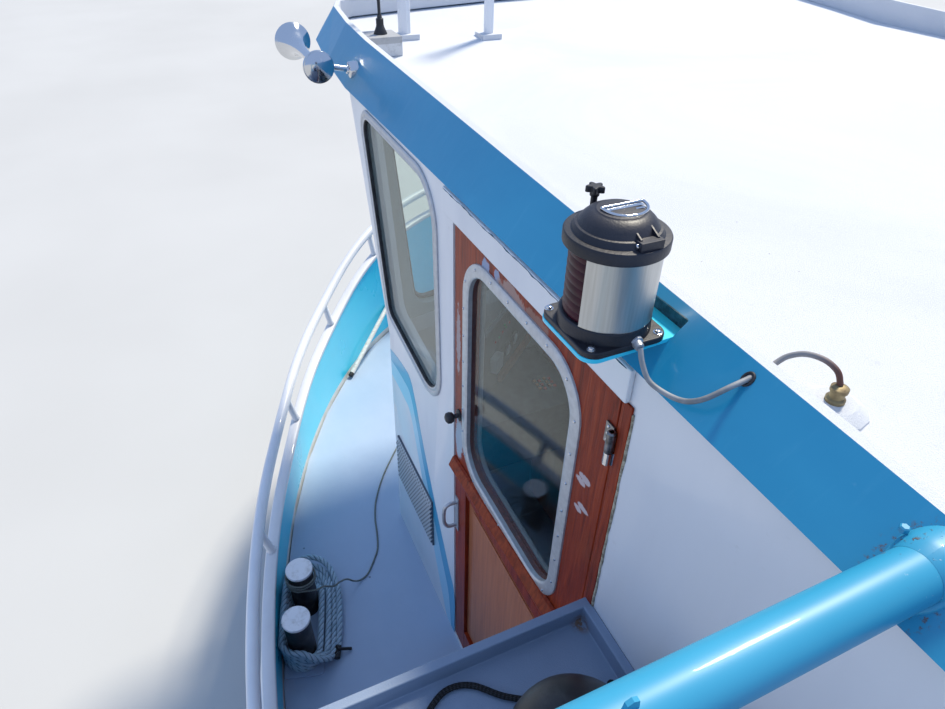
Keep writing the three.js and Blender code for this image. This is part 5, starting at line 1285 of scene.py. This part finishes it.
# Bitts
# Two black posts with white caps on a plate, forward and aft on both sides.
post_black = mottled("post_black", "black_paint", (22, 5.0, 0.7), (0.45, 0.7),
                     ((0.012, 0.012, 0.014), (0.06, 0.055, 0.05)), 0.42, (60, 3.0), 0.001)
cap_white = mottled("cap_white", "white_paint", (30, 5.0, 0.7), (0.45, 0.75),
                    ((0.86, 0.86, 0.87), (0.62, 0.6, 0.58)), 0.4, (40, 3.0), 0.0006, coat_weight=0.1)
post_rows = [(0, 0.706), (0.0545, 0.706), (0.052, 0.713), (0.05, 0.716), (0.05, 0.956), (0, 0.956)]
cap_rows = [(0, 0.957), (0.052, 0.957), (0.053, 0.9585), (0.053, 0.967), (0.0515, 0.9695), (0.048, 0.97),
            (0, 0.97)]
for label, at, turned_by in (("forward", BITTS_AT, BITTS_TURN), ("aft", (-8.3, 1.56), 0.35)):
    way = Vector((math.cos(turned_by), math.sin(turned_by)))
    corners = [Vector(at) + way * a + way.orthogonal() * b
               for a, b in ((-0.195, -0.075), (0.195, -0.075), (0.195, 0.075), (-0.195, 0.075))]
    foot_plate = plate(soft_outline([(*corner, 0.012) for corner in corners], 4), DECK + 0.0003,
                       DECK + 0.0103)
    spots = [(*(Vector(at) + way * span), 0) for span in (POST_SPAN, -POST_SPAN)]
    for side, name in SIDES:
        node = f"{name}_bitts_{label}"
        outward(f"{node}_plate", foot_plate, deck_gloss, smooth=35, side=side)
        outward(f"{node}_posts", [spun(post_rows, spot) for spot in spots], post_black, replaces=[node],
                smooth=35, side=side)
        outward(f"{node}_caps", [spun(cap_rows, spot) for spot in spots], cap_white, smooth=35, side=side)

# Horn, aerial box and mast
# A chrome trumpet on an arm from the fascia, a pale grey box with a rod aerial on a rubber cone,
# and a folding mast with a light in its tabernacle.
trumpet_rows = [(0, 0.0002), (0.042, 0.0002), (0.044, 0.002), (0.047, 0.0022), (0.048, 0.004), (0.048, 0.013),
                (0.046, 0.0145), (0.03, 0.016), (0.026, 0.024), (0.018, 0.04), (0.014, 0.06),
                (0.0145, 0.13), (0.016, 0.21), (0.0195, 0.26), (0.0255, 0.3), (0.036, 0.345),
                (0.05, 0.374), (0.061, 0.389), (0.0618, 0.3905), (0.06, 0.391), (0.047, 0.374),
                (0.033, 0.345), (0.022, 0.3), (0.015, 0.26), (0, 0.24)]
boss_rows = [(0, 1.27), (0.026, 1.27), (0.026, 1.296), (0.024, 1.2985), (0.013, 1.301), (0.011, 1.306),
             (0, 1.306)]
horn = [spun(trumpet_rows, (7.92, 1.412, 2.716), axis="X", sides=56),
        rod([(8.01, 1.275, 2.6768), (8.01, 1.33, 2.689), (8.01, 1.39, 2.703)], 0.0095, 16),
        spun(boss_rows, (8.01, 0, 2.679), axis="Y", sides=36)]
outward("horn_skin", horn, chrome, replaces=["horn"], smooth=50)

AERIAL_AT = Vector((8.217, 1.12, 0))
place = start_material("box_pale")
pale = (place.axis("Z") - 2.716).between(-0.001, 0.001).mix((0.62, 0.63, 0.64), (0.42, 0.42, 0.42))
pale = (place.noise(40, 5.0, 0.7).between(0.5, 0.75) * 0.4).mix(pale, (0.2, 0.19, 0.17))
box_pale = finish_material(place, pale, 0.5, place.noise(60, 3.0), 0.0008)
place = start_material("aerial_rod")
aerial_tone = place.axis("Z").band(2.86, 3.02).mix((0.015, 0.015, 0.017), (0.21, 0.032, 0.018))
aerial_rod = finish_material(place, aerial_tone, 0.4, place.noise(90, 2.0), 0.0003)


def rod_zone(centre, normal):
    return 1 if centre.z > 2.739 and (centre.xy - AERIAL_AT.xy).length_squared < 0.0006 else 0


dressed("aerial_box", box_pale, aerial_rod, bevel=0.003, pick=rod_zone)
cone_rows = [(0, 2.737), (0.024, 2.737), (0.0235, 2.741), (0.015, 2.76), (0.0095, 2.783), (0.0075, 2.8),
             (0, 2.8)]
outward("aerial_cone", spun(cone_rows, AERIAL_AT, sides=28), rubber_black)

dressed("mast_foot", white_gloss, bevel=0.0015)
dressed("mast", white_gloss, moulded_black, bevel=0.001, smooth=40,
        pick=lambda centre, normal: 1 if centre.z > 4.05 else 0)
lamp_clear = mottled("lamp_clear", "window_glass", (60, 2.0), (0.3, 0.7),
                     ((0.6, 0.62, 0.62), (0.48, 0.5, 0.5)), 0.15, coat_weight=0.5)
ribs = [(0.0478 + 0.0016 * abs(math.sin(math.pi * k / 3)), 4.079 + 0.094 * k / 36) for k in range(37)]
lamp_glass = spun([(0.047, 4.173), (0.047, 4.079), *ribs], (4.3, 0, 0), sides=40, sweep=359.99)
outward("mast_lamp_glass", lamp_glass, lamp_clear, body="mast", smooth=25)


# Wheelhouse front
# Rubber seals round the windscreens and a wiper on each.
def front_place(a, b, h):
    """A point h before the front's glass; a is the y there and b the height."""
    bow = 0.13 * max(0.0, min(1.0, (1.2397 - abs(a)) / 0.6197))
    return Vector((7.755 + (b - 1.8) * 0.27 / 0.8237 + bow + h, a, b))


screen_seal = [(-0.012, -0.02), (-0.012, 0.004), (-0.004, 0.007), (0.012, 0.006), (0.016, 0.001),
               (0.016, -0.0005)]
screens = [frame_round(soft_box(y0, y1, 1.89, 2.57, 0.06), screen_seal, front_place)
           for y0, y1 in ((-0.575, 0.575), (0.665, 1.19), (-1.19, -0.665))]
outward("windscreen_seals", screens, rubber_black)
wipers = []
for foot_y, tip_y in ((0.3, 0.02), (1.08, 0.8), (-0.8, -1.08)):
    foot, tip = front_place(foot_y, 1.865, 0.012), front_place(tip_y, 2.36, 0.02)
    low, high = front_place(tip_y, 2.16, 0.012), front_place(tip_y, 2.55, 0.012)
    wipers += [rod([foot, foot.lerp(tip, 0.5) + Vector((0.004, 0, 0)), tip], 0.0042, 8),
               rod([low, low.lerp(high, 0.5), high], 0.0065, 8),
               rod([front_place(foot_y, 1.855, 0.0005), front_place(foot_y, 1.87, 0.022)], 0.015, 16)]
outward("wipers", wipers, rubber_black, slot="black_plastic", smooth=50)

# Inside the wheelhouse
# A mahogany console with a dark top, a row of switches and a corner board with gauges and lamps,
# the helm wheel and its seat.
dash_dark = mottled("dash_dark", "black_plastic", (30, 4.0, 0.6), (0.35, 0.7),
                    ((0.045, 0.05, 0.06), (0.085, 0.092, 0.108)), 0.5, (180, 3.0), 0.0006)
dressed("console", mahogany_pale, dash_dark, bevel=0.003,
        pick=lambda centre, normal: 1 if normal.z > 0.5 and centre.z > 1.4 else 0)
dressed("wheelhouse_bulkhead", mahogany, bevel=0.003)
outward("dash_wing", solid_box(7.38, 7.76, 0.652, 1.15, 1.3, 1.55), dash_dark, smooth=0)
BOARD_FROM = Vector((7.799, 0.68, 0))
BOARD_WAY, BOARD_BACK = Vector((-0.6485, 0.7612, 0)), Vector((0.7612, 0.6485, 0))


def on_board(along_it, height, off=0.0):
    return BOARD_FROM + BOARD_WAY * along_it - BOARD_BACK * off + Vector((0, 0, height))


def board_box(a0, a1, z0, z1, off0, off1):
    return [on_board(a, z, off) for a in (a0, a1) for off in (off0, off1) for z in (z0, z1)], BOX_FACES


def board_discs(spots, profile, sides=28):
    """Turned fittings on the board; profile rows are radius and distance off the board."""
    turns = [2 * math.pi * k / sides for k in range(sides)]
    faces = strip_faces(range(len(profile)), sides)
    return [([on_board(along_it + radius * math.cos(a), height + radius * math.sin(a), off)
              for radius, off in profile for a in turns], faces) for along_it, height in spots]


outward("instrument_board", board_box(-0.02, 0.44, 1.5505, 1.85, -0.018, 0.0), dash_dark, smooth=0)
outward("instrument_trim", board_box(-0.02, 0.3, 1.5505, 1.585, 0.0005, 0.018), mahogany_pale, smooth=0)
outward("instrument_box", board_box(0.325, 0.385, 1.655, 1.72, 0.0005, 0.03), box_pale, smooth=0)
GAUGES = ((0.152, 1.669), (0.224, 1.661))
rim_rows = [(0, 0.0005), (0.029, 0.0005), (0.03, 0.01), (0.0265, 0.012), (0.0255, 0.009), (0, 0.009)]
dial_rows = [(0, 0.0092), (0.0245, 0.0092), (0.0245, 0.0098), (0, 0.0098)]
outward("gauge_rims", board_discs(GAUGES, rim_rows), moulded_black)
outward("gauge_dials", board_discs(GAUGES, dial_rows), cap_white)
lamp_paints = []
for name, slot, tone, least in (("lamp_red", "red_lens", (0.55, 0.02, 0.02), 0.2),
                                ("lamp_green", "green_lens", (0.03, 0.42, 0.16), 0.2),
                                ("button_orange", "red_lens", (0.6, 0.2, 0.03), 0.3)):
    place = start_material(name)
    lamp_paints.append(finish_material(place, tone, place.noise(9) * 0.1 + least))
lamp_red, lamp_green, button_orange = lamp_paints
lamp_cap = [(0, 0.0005), (0.0055, 0.0005), (0.0055, 0.003), (0.0035, 0.0055), (0, 0.006)]
for label, colour, spots in (("red", lamp_red, ((0.208, 1.782), (0.275, 1.777), (0.343, 1.772))),
                             ("green", lamp_green, ((0.242, 1.78), (0.309, 1.774), (0.259, 1.8)))):
    outward(f"board_lamps_{label}", board_discs(spots, lamp_cap, 12), colour)
for label, colour, shift in (("red", lamp_red, 0.0), ("orange", button_orange, 0.018)):
    corners = [(7.48 + 0.024 * i + shift * 0.4, 0.705 + 0.022 * j + shift) for i in range(3) for j in (0, 2)]
    buttons = [solid_box(x, x + 0.012, y, y + 0.011, 1.5502, 1.556) for x, y in corners]
    outward(f"desk_buttons_{label}", buttons, colour, smooth=0)
dressed("helm_wheel", moulded_black, smooth=60)
cover_blue = mottled("cover_blue", "seat_cover", (2.4, 4.0), (0.3, 0.7),
                     ((0.03, 0.06, 0.14), (0.045, 0.085, 0.18)), 0.8, (340, 2.0, 0.6), 0.0012)
post_rows = [(0, 0.7003), (0.215, 0.7003), (0.22, 0.706), (0.215, 0.72), (0.06, 0.735), (0.045, 0.745),
             (0.045, 1.155), (0, 1.155)]
seat_base = [spun(post_rows, (6.35, 0, 0)), solid_box(6.18, 6.55, -0.2, 0.2, 1.15, 1.17)]
outward("helm_seat_post", seat_base, chrome, replaces=["helm_seat"], smooth=35)
seat = cushion(6.225, 6.58, -0.23, 0.23, 1.1705, 1.25)
outward("helm_seat_cushion", seat, cover_blue, smooth=50)
seat_back = cushion(6.13, 6.222, -0.22, 0.22, 1.2, 1.7, axis="X")
outward("helm_seat_back", seat_back, cover_blue, smooth=50)

# Saloon benches
# Mahogany boxes with blue cushions on both sides of each back, and a rail along the wall.
bench_seats, bench_backs, bench_wood = [], [], [solid_box(-5.6, 5.0, 1.1794, 1.2094, 0.5003, 0.97)]
for x in (-5.3, -3.5, -1.7, 0.1, 1.9, 3.7):
    for start in (x, x + 0.5):
        bench_wood.append(solid_box(start + 0.004, start + 0.416, 0.342, 1.209, 0.5003, 0.86))
        bench_seats.append(cushion(start, start + 0.42, 0.3396, 1.2094, 0.8603, 0.93))
    bench_wood.append(solid_box(x + 0.445, x + 0.475, 0.342, 1.209, 0.5003, 1.4))
    for first, last in ((x + 0.42, x + 0.4445), (x + 0.4755, x + 0.5)):
        bench_backs.append(solid_box(first, last, 0.36, 1.195, 0.935, 1.38))
for side, name in SIDES:
    node = f"{name}_benches"
    outward(f"{node}_wood", bench_wood, mahogany_pale, replaces=[node], smooth=30, side=side, edge=0.003)
    outward(f"{node}_cushions", bench_seats, cover_blue, smooth=50, side=side)
    outward(f"{node}_backs", bench_backs, cover_blue, smooth=50, side=side, edge=0.01)

# After door, engine hatch, engine, propeller and rudder
# The after door matches the side doors. The propeller is bronze and the rudder carries bottom paint.
AFT_OUTER, AFT_INNER = -6.198, -6.158
aft_pane = soft_box(-0.23, 0.23, 1.6, 2.42, 0.09, 10)
dressed("aft_door", mahogany, chrome, pick=lambda centre, normal: 1 if centre.x < -6.1985 else 0)
for label, face_x, way in (("outside", AFT_OUTER, -1), ("inside", AFT_INNER, 1)):
    aft_frame = frame_round(aft_pane, pane_frame, lambda a, b, h: (face_x + way * h, a, b))
    outward(f"aft_pane_frame_{label}", aft_frame, anodised, body="aft_door")
spots = [(-6.2052, p.x, p.y) for p in spaced(aft_pane, 0.012, 0.085)]
screws("aft_door_frame_screws", spots, (0, -math.pi / 2, 0), 0.0036, 0.0022, chrome, "aft_door")
aft_knob = spun([(r, AFT_OUTER - h) for r, h in KNOB + [(0, 0.045)]], (0, -0.33, 1.5), axis="X", sides=32)
outward("aft_door_knob", aft_knob, chrome, body="aft_door", smooth=50)
dressed("engine_hatch", deck_gloss, bevel=0.003)
engine_green = mottled("engine_green", "", (6, 5.0, 0.7), (0.3, 0.7),
                       ((0.04, 0.11, 0.07), (0.02, 0.05, 0.035)), 0.45, (60, 4.0), 0.001)
dressed("engine", engine_green, bevel=0.02)
bronze_worn = mottled("bronze_worn", "", (8, 5.0, 0.7), (0.35, 0.7), ((0.46, 0.3, 0.13), (0.2, 0.19, 0.11)),
                      ((9, 3.0), 0.3, 0.3), (50, 3.0), 0.0008, metallic=0.85)
dressed("propeller", bronze_worn, smooth=50)
antifouling = mottled("antifouling", "", (5.0, 5.0), (0.4, 0.7), BOTTOM_TONES, 0.7, (30, 4.0), 0.002)
dressed("rudder", antifouling, smooth=40)
